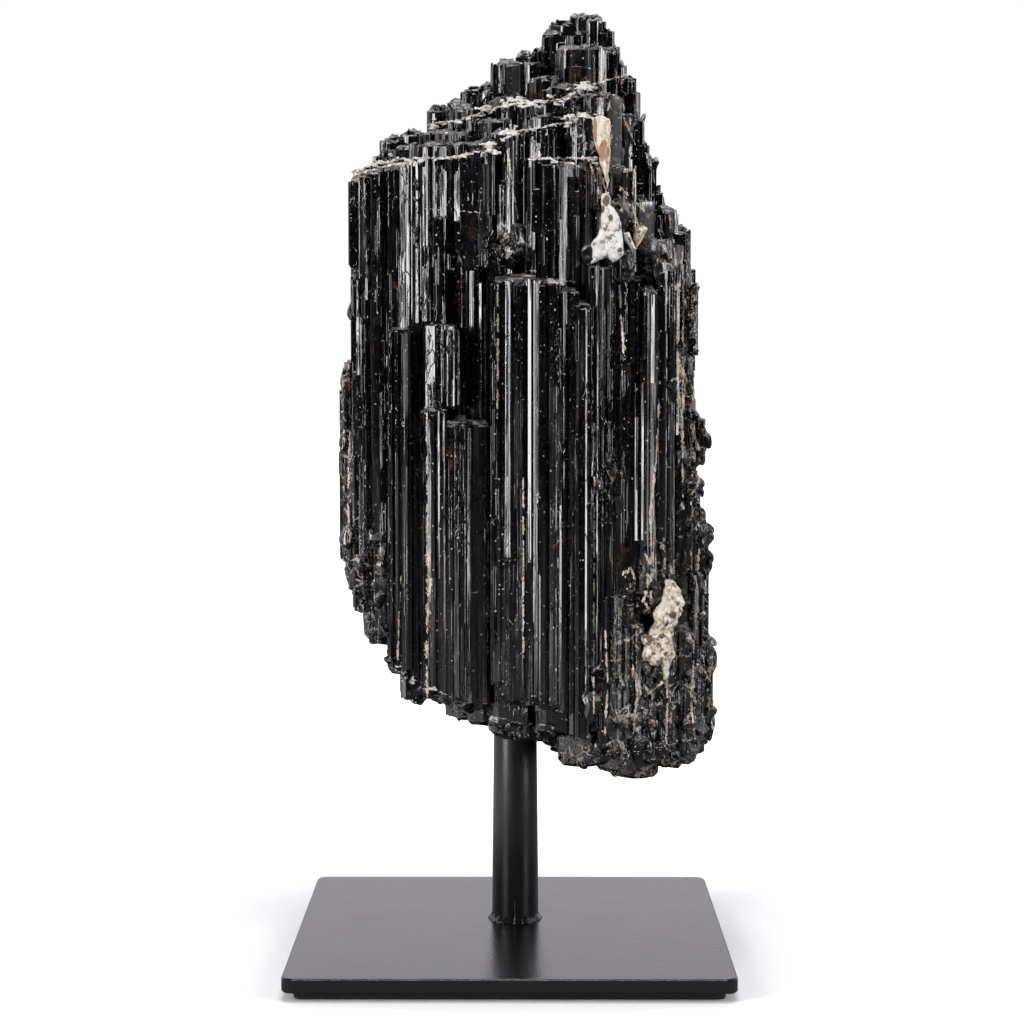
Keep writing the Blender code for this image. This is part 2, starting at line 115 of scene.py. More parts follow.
def newGroup(name, inputs, outputs):
    # every group takes a place, and floats with the given standard values
    group = bpy.data.node_groups.new(name, "ShaderNodeTree")
    group.interface.new_socket("Place", in_out="INPUT", socket_type="NodeSocketVector")
    for label, value in inputs.items():
        socket = group.interface.new_socket(label, in_out="INPUT", socket_type="NodeSocketFloat")
        socket.default_value = value
    for label in outputs:
        group.interface.new_socket(label, in_out="OUTPUT", socket_type="NodeSocketFloat")
    inside, out = group.nodes.new("NodeGroupInput"), group.nodes.new("NodeGroupOutput")
    return group, inside.outputs["Place"], inside.outputs, out.inputs


def setInputs(tree, node, **values):
    # a number or a tuple is set, and a socket is linked
    for label, value in values.items():
        socket = node.inputs[label]
        if isinstance(value, bpy.types.NodeSocket):
            tree.links.new(value, socket)
        else:
            socket.default_value = value


def addNode(tree, kind, **settings):
    node = tree.nodes.new("ShaderNode" + kind)
    for key, value in settings.items():
        setattr(node, key, value)
    return node


def useGroup(tree, group, place=None, **values):
    node = addNode(tree, "Group", node_tree=group)
    setInputs(tree, node, Place=place or addNode(tree, "TexCoord").outputs["Object"], **values)
    return node.outputs


def mathNode(tree, operation, first, second=None, clamp=False):
    node = addNode(tree, "Math", operation=operation, use_clamp=clamp)
    for socket, value in zip(node.inputs, (first, second)):
        if isinstance(value, (int, float)):
            socket.default_value = value
        elif value is not None:
            tree.links.new(value, socket)
    return node.outputs[0]


def times(tree, first, second, clamp=False):
    return mathNode(tree, "MULTIPLY", first, second, clamp)


def plus(tree, first, second, clamp=False):
    return mathNode(tree, "ADD", first, second, clamp)


def rangeNode(tree, value, low, high, outLow=0.0, outHigh=1.0, kind="SMOOTHSTEP"):
    node = addNode(tree, "MapRange", interpolation_type=kind)
    tree.links.new(value, node.inputs["Value"])
    for label, number in (("From Min", low), ("From Max", high), ("To Min", outLow), ("To Max", outHigh)):
        node.inputs[label].default_value = number
    return node.outputs[0]


def noiseNode(tree, vector, scale, detail=3.0, roughness=0.55):
    node = addNode(tree, "TexNoise")
    setInputs(tree, node, Vector=vector, Scale=scale, Detail=detail, Roughness=roughness)
    return node.outputs[0]


def stretchNode(tree, vector, x, y, z):
    node = addNode(tree, "Mapping")
    setInputs(tree, node, Vector=vector, Scale=(x, y, z))
    return node.outputs[0]


def drawnNoise(tree, place, across, along, detail=3.0, roughness=0.55):
    # noise drawn out up the crystals: its scales across them and along them
    return noiseNode(tree, stretchNode(tree, place, across, across, along), 1.0, detail, roughness)


def axisOf(tree, vector, axis):
    node = addNode(tree, "SeparateXYZ")
    tree.links.new(vector, node.inputs[0])
    return node.outputs[axis]


def mixColour(tree, factor, first, second):
    node = addNode(tree, "Mix", data_type="RGBA")
    tree.links.new(factor, node.inputs[0])
    for socket, value in zip((node.inputs[6], node.inputs[7]), (first, second)):
        if isinstance(value, tuple):
            socket.default_value = (*value, 1.0)
        else:
            tree.links.new(value, socket)
    return node.outputs[2]


def addBump(tree, shader, height, strength, distance):
    bump = addNode(tree, "Bump")
    setInputs(tree, bump, Height=height, Strength=strength, Distance=distance)
    tree.links.new(bump.outputs[0], shader.inputs["Normal"])


def zoneMask(tree, place, zones):
    # 1 inside the given eggs, each a middle and three half sizes, and 0 well outside them
    mask = None
    for middle, half in zones:
        node = addNode(tree, "Mapping")
        scale = tuple(1.0 / size for size in half)
        shift = tuple(-at / size for at, size in zip(middle, half))
        setInputs(tree, node, Vector=place, Scale=scale, Location=shift)
        length = addNode(tree, "VectorMath", operation="LENGTH")
        tree.links.new(node.outputs[0], length.inputs[0])
        inside = rangeNode(tree, length.outputs["Value"], 0.75, 1.1, 1.0, 0.0)
        mask = inside if mask is None else mathNode(tree, "MAXIMUM", mask, inside)
    return mask


# view and light

view = {
    "lens": 84.05,                                # mm, on a 36 mm sensor
    "place": (0.00277, -0.67470, 0.17313),
    "target": (0.00048, 0.0, 0.12447),
}
light = {
    "roomDark": 0.004,                            # the room in front of the stand, seen in the facets
    "roomSide": 0.04,
    "roomBehind": (1.06, 1.06 * 0.965, 1.06 * 1.05),
    "turns": (0.30, 0.50, 0.72),                  # where these three stand, from the front to the back
    "aim": (0.0, 0.0, 0.15),
    "top": (0.0, -0.05, 0.95, 0.45, 0.45, 5.0),   # x, y, z, width, depth, watts
    "left": (-0.62, -0.46, 0.24, 0.17, 0.75, 6.5),
    "right": (0.66, -0.40, 0.28, 0.14, 0.75, 5.0),
}
paper = {
    "white": 0.86,
    "litFrom": 0.088,                             # metres from the middle, where its own light starts
    "litAt": 0.31,
    "paintedCard": 0.20,                                 # painted reflection: what the stones and the post see of it is a dark card on the right
    # painted highlight: the card is lighter on the left, which lights the post's left flank
    "paintedCardLeft": 0.75,
    "paintedCardTurn": (-0.07, -0.13),                   # x from where it grows lighter, and where it is light
}


def lookAt(obj, place, target):
    obj.location = place
    obj.rotation_euler = (Vector(target) - Vector(place)).to_track_quat("-Z", "Y").to_euler()
    scene.collection.objects.link(obj)


def makeCamera():
    data = bpy.data.cameras.new("camera")
    data.lens = view["lens"]
    data.sensor_width = 36.0
    data.clip_start = 0.01
    data.clip_end = 20.0
    camera = bpy.data.objects.new("camera", data)
    lookAt(camera, view["place"], view["target"])
    scene.camera = camera


def makeAreaLight(name, values):
    x, y, z, width, height, watts = values
    data = bpy.data.lights.new(name, "AREA")
    data.shape = "RECTANGLE"
    data.size = width
    data.size_y = height
    data.energy = watts
    lookAt(bpy.data.objects.new(name, data), (x, y, z), light["aim"])


def makeWorld():
    # white to the camera; to the piece, dark in front and bright behind
    world = bpy.data.worlds.new("studio")
    scene.world = world
    world.use_nodes = True
    tree = world.node_tree
    tree.nodes.clear()
    depth = axisOf(tree, addNode(tree, "TexCoord").outputs["Generated"], "Y")
    ramp = addNode(tree, "ValToRGB")
    tree.links.new(rangeNode(tree, depth, -1.0, 1.0, kind="LINEAR"), ramp.inputs[0])
    ramp.color_ramp.interpolation = "EASE"
    front, side, back = light["turns"]
    points = ramp.color_ramp.elements
    points[0].position, points[1].position = front, back
    points[0].color = (light["roomDark"],) * 3 + (1.0,)
    points[1].color = (*light["roomBehind"], 1.0)
    points.new(side).color = (light["roomSide"],) * 3 + (1.0,)
    room, white = addNode(tree, "Background"), addNode(tree, "Background")
    tree.links.new(ramp.outputs[0], room.inputs["Color"])
    setInputs(tree, white, Color=(1.0, 1.0, 1.0, 1.0), Strength=1.0)
    mix = addNode(tree, "MixShader")
    tree.links.new(addNode(tree, "LightPath").outputs["Is Camera Ray"], mix.inputs[0])
    tree.links.new(room.outputs[0], mix.inputs[1])
    tree.links.new(white.outputs[0], mix.inputs[2])
    tree.links.new(mix.outputs[0], addNode(tree, "OutputWorld").inputs[0])


def makeFloor():
    floor = addPrimitive("floor", bpy.ops.mesh.primitive_plane_add, size=6.0, location=(0.0, 1.2, 0.0))
    material, tree, shader = plainMaterial("paper")
    place = addNode(tree, "NewGeometry").outputs["Position"]
    run = addNode(tree, "VectorMath", operation="LENGTH")
    tree.links.new(place, run.inputs[0])
    lit = rangeNode(tree, run.outputs["Value"], paper["litFrom"], paper["litAt"], kind="LINEAR")
    seen = addNode(tree, "LightPath").outputs["Is Camera Ray"]
    # painted reflection: camera rays see the white paper, all other rays a painted card, dark on the right
    # and lighter on the left
    across = axisOf(tree, place, "X")
    paintedCard = rangeNode(tree, across, *paper["paintedCardTurn"], paper["paintedCard"], paper["paintedCardLeft"], "LINEAR")
    tree.links.new(times(tree, lit, seen), shader.inputs["Emission Strength"])
    tree.links.new(mixColour(tree, seen, paintedCard, (paper["white"],) * 3), shader.inputs["Base Color"])
    shader.inputs["Emission Color"].default_value = (1.0, 1.0, 1.0, 1.0)
    shader.inputs["Roughness"].default_value = 0.9
    shader.inputs["Specular IOR Level"].default_value = 0.1
    floor.data.materials.append(material)


makeCamera()
makeWorld()
makeAreaLight("top box", light["top"])
makeAreaLight("left strip", light["left"])
makeAreaLight("right strip", light["right"])
makeFloor()
scene.view_settings.view_transform = "Standard"
print("studio ready")


# patterns that several materials use

def makeStriationGroup():
    # fine upright lines that run the whole height of a crystal, with cross cracks here and there
    tree, place, inputs, out = newGroup("upright lines", {"Cracks": 1.0}, ("Height", "Streak", "Crack"))
    wide = drawnNoise(tree, place, 900, 14, 2.0)
    fine = drawnNoise(tree, place, 2600, 45, 2.0)
    ridges = None
    for across, along, power, amount in ((650, 5, 14, 0.55), (1300, 12, 10, 0.35)):
        line = mathNode(tree, "SUBTRACT", drawnNoise(tree, place, across, along, 1.0), 0.5)
        line = times(tree, mathNode(tree, "ABSOLUTE", line), 2.0)
        line = mathNode(tree, "POWER", mathNode(tree, "SUBTRACT", 1.0, line), power)
        line = times(tree, line, amount)
        ridges = line if ridges is None else plus(tree, ridges, line)
    ridges = times(tree, ridges, rangeNode(tree, drawnNoise(tree, place, 260, 70), 0.44, 0.60))
    sway, bent = addNode(tree, "TexNoise"), addNode(tree, "VectorMath", operation="ADD")
    setInputs(tree, sway, Vector=place, Scale=160)
    tree.links.new(stretchNode(tree, place, 330, 330, 130), bent.inputs[0])
    tree.links.new(sway.outputs["Color"], bent.inputs[1])
    cell = addNode(tree, "TexVoronoi", feature="DISTANCE_TO_EDGE")
    setInputs(tree, cell, Vector=bent.outputs[0], Scale=1.0)
    crack = rangeNode(tree, cell.outputs["Distance"], 0.0, 0.045, 1.0, 0.0)
    crack = times(tree, crack, rangeNode(tree, noiseNode(tree, place, 90), 0.50, 0.62))
    crack = times(tree, crack, inputs["Cracks"])
    height = plus(tree, plus(tree, times(tree, wide, 0.40), times(tree, fine, 0.28)), ridges)
    height = mathNode(tree, "SUBTRACT", height, times(tree, crack, 0.5))
    for label, value in (("Height", height), ("Streak", wide), ("Crack", crack)):
        tree.links.new(value, out[label])
    return tree


def makeSpeckGroup():
    # scattered specks: only some cells hold one, and only in some places
    tree, place, inputs, out = newGroup("specks", {"Scale": 1000.0, "Size": 0.2, "Share": 0.5}, ("Mask",))
    cell, tint = addNode(tree, "TexVoronoi"), addNode(tree, "SeparateColor")
    setInputs(tree, cell, Vector=place, Scale=inputs["Scale"])
    tree.links.new(cell.outputs["Color"], tint.inputs[0])
    held = mathNode(tree, "LESS_THAN", tint.outputs[0], inputs["Share"])
    size = times(tree, inputs["Size"], plus(tree, tint.outputs[1], 0.4))
    dot = mathNode(tree, "LESS_THAN", cell.outputs["Distance"], size)
    where = rangeNode(tree, noiseNode(tree, place, 110, 3.0), 0.42, 0.60, 0.25, 1.0)
    kept = mathNode(tree, "GREATER_THAN", times(tree, tint.outputs[2], where), 0.22)
    tree.links.new(times(tree, times(tree, held, dot), kept), out["Mask"])
    return tree


def makeCrackleGroup():
    # a web of thin pale lines
    tree, place, inputs, out = newGroup("crackle", {"Scale": 300.0, "Thickness": 0.05}, ("Mask",))
    sway, bent = addNode(tree, "TexNoise"), addNode(tree, "VectorMath", operation="MULTIPLY_ADD")
    setInputs(tree, sway, Vector=place, Scale=380, Detail=3.0)
    tree.links.new(sway.outputs["Color"], bent.inputs[0])
    bent.inputs[1].default_value = (0.0045, 0.0045, 0.0045)
    tree.links.new(place, bent.inputs[2])
    cell = addNode(tree, "TexVoronoi", feature="DISTANCE_TO_EDGE")
    setInputs(tree, cell, Vector=bent.outputs[0], Scale=inputs["Scale"])
    thick = mathNode(tree, "DIVIDE", cell.outputs["Distance"], inputs["Thickness"])
    gaps = rangeNode(tree, noiseNode(tree, place, 300, 4.0), 0.50, 0.60)
    thin = mathNode(tree, "SUBTRACT", 1.0, thick, clamp=True)
    tree.links.new(times(tree, thin, gaps), out["Mask"])
    return tree


def makeGrainGroup():
    # a fine even grain, as of powder coat or sugary stone
    tree, place, inputs, out = newGroup("even grain", {"Scale": 2500.0}, ("Height", "Blotch"))
    fine = addNode(tree, "TexNoise")
    setInputs(tree, fine, Vector=place, Scale=inputs["Scale"], Detail=2.0)
    tree.links.new(fine.outputs[0], out["Height"])
    tree.links.new(noiseNode(tree, place, 60, 4.0), out["Blotch"])
    return tree


striationGroup = makeStriationGroup()
speckGroup = makeSpeckGroup()
crackleGroup = makeCrackleGroup()
grainGroup = makeGrainGroup()


# the black crystals

plan = tenths((
    (-430, -100), (-385, -160), (-295, -200), (-150, -230), (0, -260), (150, -270), (280, -245),
    (385, -195), (465, -130), (505, -30), (510, 80), (480, 200), (400, 300), (265, 365), (70, 390),
    (-130, 370), (-295, 305), (-400, 200), (-445, 80), (-452, -10),
))
leftReach = tenths(((1050, 0), (1150, 28), (1600, 28), (1660, -36), (2400, -36)))
rightReach = tenths((
    (500, 45), (600, 70), (880, 70), (950, 55), (1200, 50), (1260, 20), (1440, 10), (1500, -15),
    (1870, -15), (1950, -20), (2500, -50),
))
crown = tenths((
    (-460, 2130), (-452, 2190), (-400, 2235), (-360, 2290), (-275, 2325), (-225, 2380), (-130, 2430),
    (-75, 2455), (-40, 2500), (20, 2530), (60, 2550), (95, 2590), (120, 2630), (175, 2650), (250, 2645),
    (270, 2600), (300, 2530), (330, 2460), (350, 2380), (375, 2280), (405, 2160), (460, 2100), (485, 2010),
    (515, 1890), (550, 1500),
))
frontLedge = tenths((
    (-465, 2130), (-435, 2175), (-390, 2190), (-290, 2225), (0, 2260), (175, 2285), (255, 2275),
    (285, 2110), (390, 1990), (550, 1845),
))
keel = tenths((
    (-484, 1265), (-460, 1150), (-440, 1060), (-415, 1000), (-385, 930), (-345, 855), (-305, 795),
    (-245, 750), (-190, 690), (-135, 662), (-75, 640), (0, 610), (95, 590), (150, 545), (210, 528),
    (265, 505), (315, 497), (380, 496), (440, 522), (480, 560), (510, 580), (550, 600), (585, 645),
))
bundle = {
    "frontEdges": 8,          # of the plan's edges, those along the front
    "coreMiddle": (0.0050, 0.0070),
    "coreFront": -0.0150,
    "coreShare": 0.915,
    "coreStart": 9,           # the plan's point nearest to +X
    "coreSink": 0.0080,
    "frontY": -0.0200,
    "ridgeY": 0.0080,
    "terraces": 4,
    "backFall": 0.75,
    "keelFrontRise": 0.40,
    "keelBackRise": 0.35,
    "keelLevel": (-0.0060, 0.0200),
    "highest": 0.2655,
    "crownFront": -0.0215,
}

# low x, high x, front y, top z, bottom z
leftBlock = tenths((
    (-440, -403, -130, 2185, 1925), (-440, -398, -125, 1920, 1640), (-438, -380, -100, 1650, 1035),
    (-479, -430, -30, 1640, 1110), (-410, -365, -160, 2198, 1115), (-375, -325, -185, 2208, 900),
    (-335, -285, -200, 2215, 820), (-295, -235, -225, 2222, 745), (-323, -266, -255, 1772, 825),
    (-430, -380, -125, 1120, 968), (-392, -330, -175, 1015, 890),
))
middleBlock = tenths((
    (-241, -160, -190, 2225, 730), (-170, -72, -185, 2235, 710), (-233, -170, -238, 2085, 1765),
    (-145, -78, -232, 2080, 1965), (-150, -78, -205, 2005, 1500), (-228, -143, -260, 1778, 1540),
    (-233, -171, -290, 1556, 755), (-185, -119, -280, 1525, 740), (-127, -64, -270, 1514, 736),
    (-79, -5, -170, 2252, 755),
))
centreBlock = tenths((
    (-53, 12, -220, 2005, 1885), (-13, 61, -200, 2244, 1885), (55, 127, -240, 2223, 1875),
    (120, 188, -235, 2220, 1875), (176, 245, -225, 2215, 1875), (-43, -6, -310, 1901, 785),
    (-14, 42, -325, 1903, 760), (34, 81, -315, 1904, 743), (73, 132, -312, 1898, 723),
    (123, 182, -298, 1875, 713), (170, 223, -290, 1841, 643),
))
rightBlock = tenths((
    (205, 281, -275, 1948, 655), (272, 353, -250, 1914, 910), (338, 402, -240, 1880, 995),
    (394, 445, -205, 1941, 1020), (433, 480, -150, 1960, 1120), (440, 498, -80, 2045, 1880),
    (459, 518, -85, 1885, 1685), (455, 505, -80, 1690, 1515), (473, 540, -65, 1524, 1372),
    (472, 524, -60, 1374, 1250), (494, 555, -70, 1252, 1067), (493, 551, -80, 1077, 890),
    (496, 567, -140, 903, 615), (343, 410, -190, 2005, 1940), (392, 470, -80, 2100, 1940),
))
lowerBlock = tenths((
    (244, 306, -280, 1050, 610), (296, 361, -272, 970, 595), (355, 434, -258, 872, 582),
    (423, 496, -215, 950, 581),
))
skyline = tenths((
    (-361, -305, 40, 2305, 2000), (-311, -232, 50, 2323, 2050), (-235, -165, 60, 2388, 2100),
    (-176, -126, 80, 2410, 2150), (-137, -80, 80, 2446, 2200), (-86, -41, 80, 2457, 2200),
    (-52, 27, 80, 2522, 2200), (16, 70, 90, 2548, 2250), (64, 100, 80, 2558, 2250),
    (94, 124, 60, 2597, 2250), (112, 180, 70, 2635, 2250), (168, 222, 80, 2655, 2250),
    (213, 264, 70, 2646, 2250), (253, 287, 60, 2610, 2250), (270, 303, 50, 2562, 2200),
    (292, 323, 50, 2517, 2150), (308, 348, 40, 2476, 2100), (331, 359, 30, 2435, 2100),
    (342, 373, 20, 2353, 2050), (359, 387, 20, 2291, 2000), (379, 407, 20, 2245, 1950),
    (394, 427, 20, 2152, 1900),
))
placed = {
    "depth": 0.016,
    "skylineDepth": 0.010,
    "ribEvery": 0.0012,                 # along the face, from one rib to the next
    "ribSpread": 1.25,
    "frontSlope": 0.20,
    "turn": 0.08,
    "wider": 1.05,                      # so that neighbours overlap
}
ribs = {
    "half": (0.0004, 0.0017),
    "flat": (0.45, 0.8),                # of the half width
    "proud": (0.00005, 0.00060),
    "lean": 0.32,
    "below": (0.0, 0.0012),             # how far the head ends below the crystal's
    "above": (-0.0002, 0.0020),         # and how far the foot stands above the crystal's
    "brokenHead": (0.25, 0.05, 0.6),    # how many end early, and by what share of the height
    "brokenFoot": (0.20, 0.05, 0.5),
    "shortest": 0.004,
}
crownGrid = {"spacing": 0.0098, "off": 0.0014, "rows": (-4, 7), "columns": (-7, 8),
             "half": (0.0054, 0.0068), "margin": 0.0035, "tall": 0.035, "ends": (-0.0030, 0.0006),
             "power": 0.62, "slope": 0.04, "rim": 0.0012, "thinnest": 0.003, "ribTall": 0.030,
             "ribSpread": 2.2, "ribEvery": 0.0034}
keelGrid = {"spacing": 0.0120, "off": 0.0016, "rows": (-4, 6), "columns": (-6, 8),
            "half": (0.0064, 0.0082), "margin": 0.0030, "tall": 0.030, "ends": (-0.0012, 0.0022),
            "taper": 0.80, "rim": 0.0012}
backSides = {"spacing": 0.0098, "half": (0.0056, 0.0070), "ribEvery": 0.0026,
             "steps": ((0.090, 0.140), (0.130, 0.200)), "shortest": 0.006, "off": 0.15, "turn": 0.2,
             "below": 0.008, "above": 0.006, "sunk": 0.92, "back": 0.0022, "overlap": 0.002,
             "slope": 0.05, "ribSpread": 1.2}
wear = {
    "widest": 1.03,                     # of its half size, how far a side of a column may stand out
    "lean": 2.5,
    "steps": (0.10, 0.90),              # where along the column its level steps may come
    "stepTall": 0.00025,
    "stepBack": (0.02, 0.10),
    "chip": 3.0,                        # times the rim, at its deepest
    "bump": 0.5,
    "lowTilt": (0.15, 0.15),
    "highTilt": (0.10, 0.06),
    "stepTilt": (0.2, 0.2),
}
toFront = -math.pi / 2
columnMasters = {"wide": (14, 6), "slim": (6, 4), "slab": (4, 4)}    # sides, and rings between the ends


def valueAt(profile, at):
    if at <= profile[0][0]:
        return profile[0][1]
    for (start, low), (end, high) in zip(profile, profile[1:]):
        if at <= end:
            return low + (high - low) * (at - start) / (end - start)
    return profile[-1][1]


def crownAt(x, y, half=0.0):
    ridge = min(valueAt(crown, x - half), valueAt(crown, x + half))
    ledge = min(valueAt(frontLedge, x), ridge)
    share = min(max((y - bundle["frontY"]) / (bundle["ridgeY"] - bundle["frontY"]), 0.0), 1.0)
    terrace = math.ceil(share * bundle["terraces"]) / bundle["terraces"]
    return ledge + (ridge - ledge) * terrace - bundle["backFall"] * max(y - bundle["ridgeY"], 0.0)


def keelAt(x, y):
    front, back = bundle["keelLevel"]
    rise = bundle["keelFrontRise"] * max(front - y, 0.0) + bundle["keelBackRise"] * max(y - back, 0.0)
    return valueAt(keel, x) + rise


def planMargin(x, y):
    margins = []
    for (x0, y0), (x1, y1) in zip(plan, plan[1:] + plan[:1]):
        run = math.hypot(x1 - x0, y1 - y0)
        margins.append(((x1 - x0) * (y - y0) - (y1 - y0) * (x - x0)) / run)
    return min(margins)


def squared(along, power):
    return math.copysign(abs(along) ** power, along)


def makeColumnMaster(name, sides, rings):
    # a unit column: upright sides cut by level rings, and ends poked, after an inset on the wide one
    cylinder = {"vertices": sides, "radius": 1.0, "depth": 1.0, "end_fill_type": "NGON"}
    master = addPrimitive("column " + name, bpy.ops.mesh.primitive_cylinder_add, **cylinder)

    def upright(edge):
        low, high = (master.data.vertices[index].co.z for index in edge.vertices)
        return abs(low - high) > 0.5

    selectWhere(master, "EDGE", upright)
    bpy.ops.mesh.subdivide(number_cuts=rings)
    selectWhere(master, "FACE", lambda face: abs(face.normal.z) > 0.9)
    if name == "wide":
        bpy.ops.mesh.inset(thickness=0.45)
    bpy.ops.mesh.poke()
    bpy.ops.object.mode_set(mode="OBJECT")
    spots = []
    for vert in master.data.vertices:
        around = math.atan2(vert.co.y, vert.co.x) % math.tau
        side = round(around / math.tau * sides) % sides
        spots.append((round((vert.co.z + 0.5) * (rings + 1)), side, math.hypot(vert.co.x, vert.co.y)))
    return master, sides, rings + 2, spots


masters = {name: makeColumnMaster(name, *counts) for name, counts in columnMasters.items()}
growing = bpy.data.collections.new("growing")
scene.collection.children.link(growing)


def tilted(draw, alongX, alongY):
    return draw.uniform(-alongX, alongX), draw.uniform(-alongY, alongY)


def turned(x, y, turn):
    return x * math.cos(turn) - y * math.sin(turn), x * math.sin(turn) + y * math.cos(turn)


# kind: a master column; turn: radians; power: how square it is, from 1 for round to 0 for square
def growColumn(kind, draw, middle, half, turn, low, high, power=0.72, slope=0.0, rim=0.0003, taper=1.0,
               uneven=0.12, spin=0.0):
    # a copy of the column: uneven faces, one or more level steps, a chipped rim and sloping ends
    master, sides, rings, spots = masters[kind]
    tall = high - low
    across = [draw.uniform(1.0 - uneven, wear["widest"]) for _ in range(sides)]
    lean = [draw.uniform(-wear["lean"], wear["lean"]) * uneven * math.tau / sides for _ in range(sides)]
    rim = min(rim, tall * 0.1, min(half) * 0.3)
    cuts = sorted(draw.uniform(*wear["steps"]) for _ in range((rings - 4) // 2))
    levels = [0.0, rim / tall]
    scales = [[1.0] * sides for _ in range(rings)]
    for number, cut in enumerate(cuts):
        levels += [cut, cut + wear["stepTall"] / tall]
        first, count, inset = draw.randrange(sides), draw.randrange(2, 6), draw.uniform(*wear["stepBack"])
        for ring in range(2 * number + 3, rings):
            for step in range(count):
                scales[ring][(first + step) % sides] -= inset
    levels += [1.0 - rim / tall, 1.0]
    chips = [draw.uniform(0.0, 1.0) ** 4 * wear["chip"] * rim for _ in range(sides)]
    lowTilt = tilted(draw, *wear["lowTilt"])
    highTilt = tilted(draw, *wear["highTilt"])
    stepTilts = [tilted(draw, *wear["stepTilt"]) for _ in cuts]
    bumps = [draw.uniform(-wear["bump"], wear["bump"]) * rim for _ in range(sides + 1)]
    mesh = master.data.copy()
    places = []
    for ring, side, radius in spots:
        around = side / sides * math.tau + lean[side] + spin
        size = radius * across[side] * scales[ring][side]
        if ring in (0, rings - 1) and radius > 0.95:
            size *= 1.0 - (rim + chips[side]) / min(half)
        size *= taper + (1.0 - taper) * levels[ring]
        x = squared(math.cos(around), power) * half[0] * size
        y = squared(math.sin(around), power) * half[1] * size
        x, y = turned(x, y, turn)
        z = low + levels[ring] * tall
        if ring > rings - 3:
            z += highTilt[0] * x + (highTilt[1] + slope) * y
            if ring == rings - 1:
                inner = bumps[side if radius > 0.01 else -1] * 1.6
                z += bumps[side] - chips[side] if radius > 0.95 else inner
        elif ring < 2:
            z += lowTilt[0] * x + lowTilt[1] * y
        else:
            stepX, stepY = stepTilts[(ring - 2) // 2]
            z += stepX * x + stepY * y
        places += [middle[0] + x, middle[1] + y, min(z, bundle["highest"])]
    mesh.vertices.foreach_set("co", places)
    growing.objects.link(bpy.data.objects.new("column", mesh))


def earlyEnd(draw, chance, least, most):
    return draw.uniform(least, most) if draw.random() < chance else 0.0


def growRibs(draw, middle, half, turn, low, high, facing, spread, slope, every, power=0.72):
    # thin columns sunk in the face of a thick one, which give it its ribs and furrows
    count = max(2, round(2.0 * spread * (half[0] + half[1]) / 2.0 / every))
    for number in range(count):
        around = facing + spread * (2.0 * (number + draw.uniform(0.2, 0.8)) / count - 1.0) - turn
        x = squared(math.cos(around), power) * half[0]
        y = squared(math.sin(around), power) * half[1]
        x, y = turned(x, y, turn)
        run = math.hypot(x, y)
        wide = draw.uniform(*ribs["half"])
        flat = wide * draw.uniform(*ribs["flat"])
        sink = flat - draw.uniform(*ribs["proud"])
        x, y = x * (1.0 - sink / run), y * (1.0 - sink / run)
        lean = facing + math.pi / 2 + draw.gauss(0.0, ribs["lean"])
        top = high + slope * y - draw.uniform(*ribs["below"])
        foot = low + draw.uniform(*ribs["above"])
        top -= earlyEnd(draw, *ribs["brokenHead"]) * (high - low)
        foot += earlyEnd(draw, *ribs["brokenFoot"]) * (high - low)
        if top - foot > ribs["shortest"]:
            spot = (middle[0] + x, middle[1] + y)
            growColumn("slim", draw, spot, (wide, flat), lean, foot, top, 0.6, 0.25, 0.0002, uneven=0.15)


def growPlaced(blocks, depth, seed, power, rim):
    for number, (lowX, highX, frontY, top, bottom) in enumerate(blocks):
        draw = random.Random(seed + number)
        middle = ((lowX + highX) / 2, frontY + depth / 2)
        half = ((highX - lowX) / 2 * placed["wider"], depth / 2)
        turn = draw.uniform(-placed["turn"], placed["turn"])
        slope, spread, every = placed["frontSlope"], placed["ribSpread"], placed["ribEvery"]
        growColumn("wide", draw, middle, half, turn, bottom, top, power, slope, rim)
        growRibs(draw, middle, half, turn, bottom, top, toFront, spread, slope, every, power)


def growSides():
    # round the sides and the back, in columns that break off at one or two steps
    draw = random.Random(7)
    shape = random.Random(8)
    off, least, slope = backSides["off"], backSides["shortest"], backSides["slope"]
    spread, every = backSides["ribSpread"], backSides["ribEvery"]
    for (x0, y0), (x1, y1) in list(zip(plan, plan[1:] + plan[:1]))[bundle["frontEdges"]:]:
        run = math.hypot(x1 - x0, y1 - y0)
        along = ((x1 - x0) / run, (y1 - y0) / run)
        outward = (along[1], -along[0])
        facing = math.atan2(outward[1], outward[0])
        count = max(1, round(run / backSides["spacing"]))
        for step in range(count):
            place = (step + 0.5 + draw.uniform(-off, off)) / count * run
            x, y = x0 + along[0] * place, y0 + along[1] * place
            half = draw.uniform(*backSides["half"])
            turn = math.atan2(along[1], along[0]) + draw.uniform(-backSides["turn"], backSides["turn"])
            top = crownAt(x, y, half * 0.5) - draw.uniform(0.0, backSides["below"])
            bottom = keelAt(x, y) + draw.uniform(0.0, backSides["above"])
            steps = sorted(draw.uniform(low, high) for low, high in backSides["steps"])
            steps = [height for height in steps if bottom + least < height < top - least]
            cuts = [bottom, *steps, top]
            for low, high in zip(cuts, cuts[1:]):
                reach = valueAt(rightReach if x > 0 else leftReach, (low + high) / 2)
                inset = half * backSides["sunk"] + draw.uniform(0.0, backSides["back"])
                out = reach * abs(outward[0]) - inset
                spot = (x + outward[0] * out, y + outward[1] * out)
                foot = low - backSides["overlap"]
                growColumn("wide", shape, spot, (half, half), turn, foot, high, slope=slope)
                growRibs(shape, spot, (half, half), turn, low, high, facing, spread, slope, every)


def walkPlan(draw, grid):
    # rough places in staggered rows, all over the plan and past it
    rowStep = grid["spacing"] * math.sqrt(3) / 2
    for row in range(*grid["rows"]):
        for column in range(*grid["columns"]):
            x = (column + 0.5 * (row % 2)) * grid["spacing"] + draw.uniform(-grid["off"], grid["off"])
            y = row * rowStep + draw.uniform(-grid["off"], grid["off"])
            yield x, y, draw.uniform(*grid["half"])


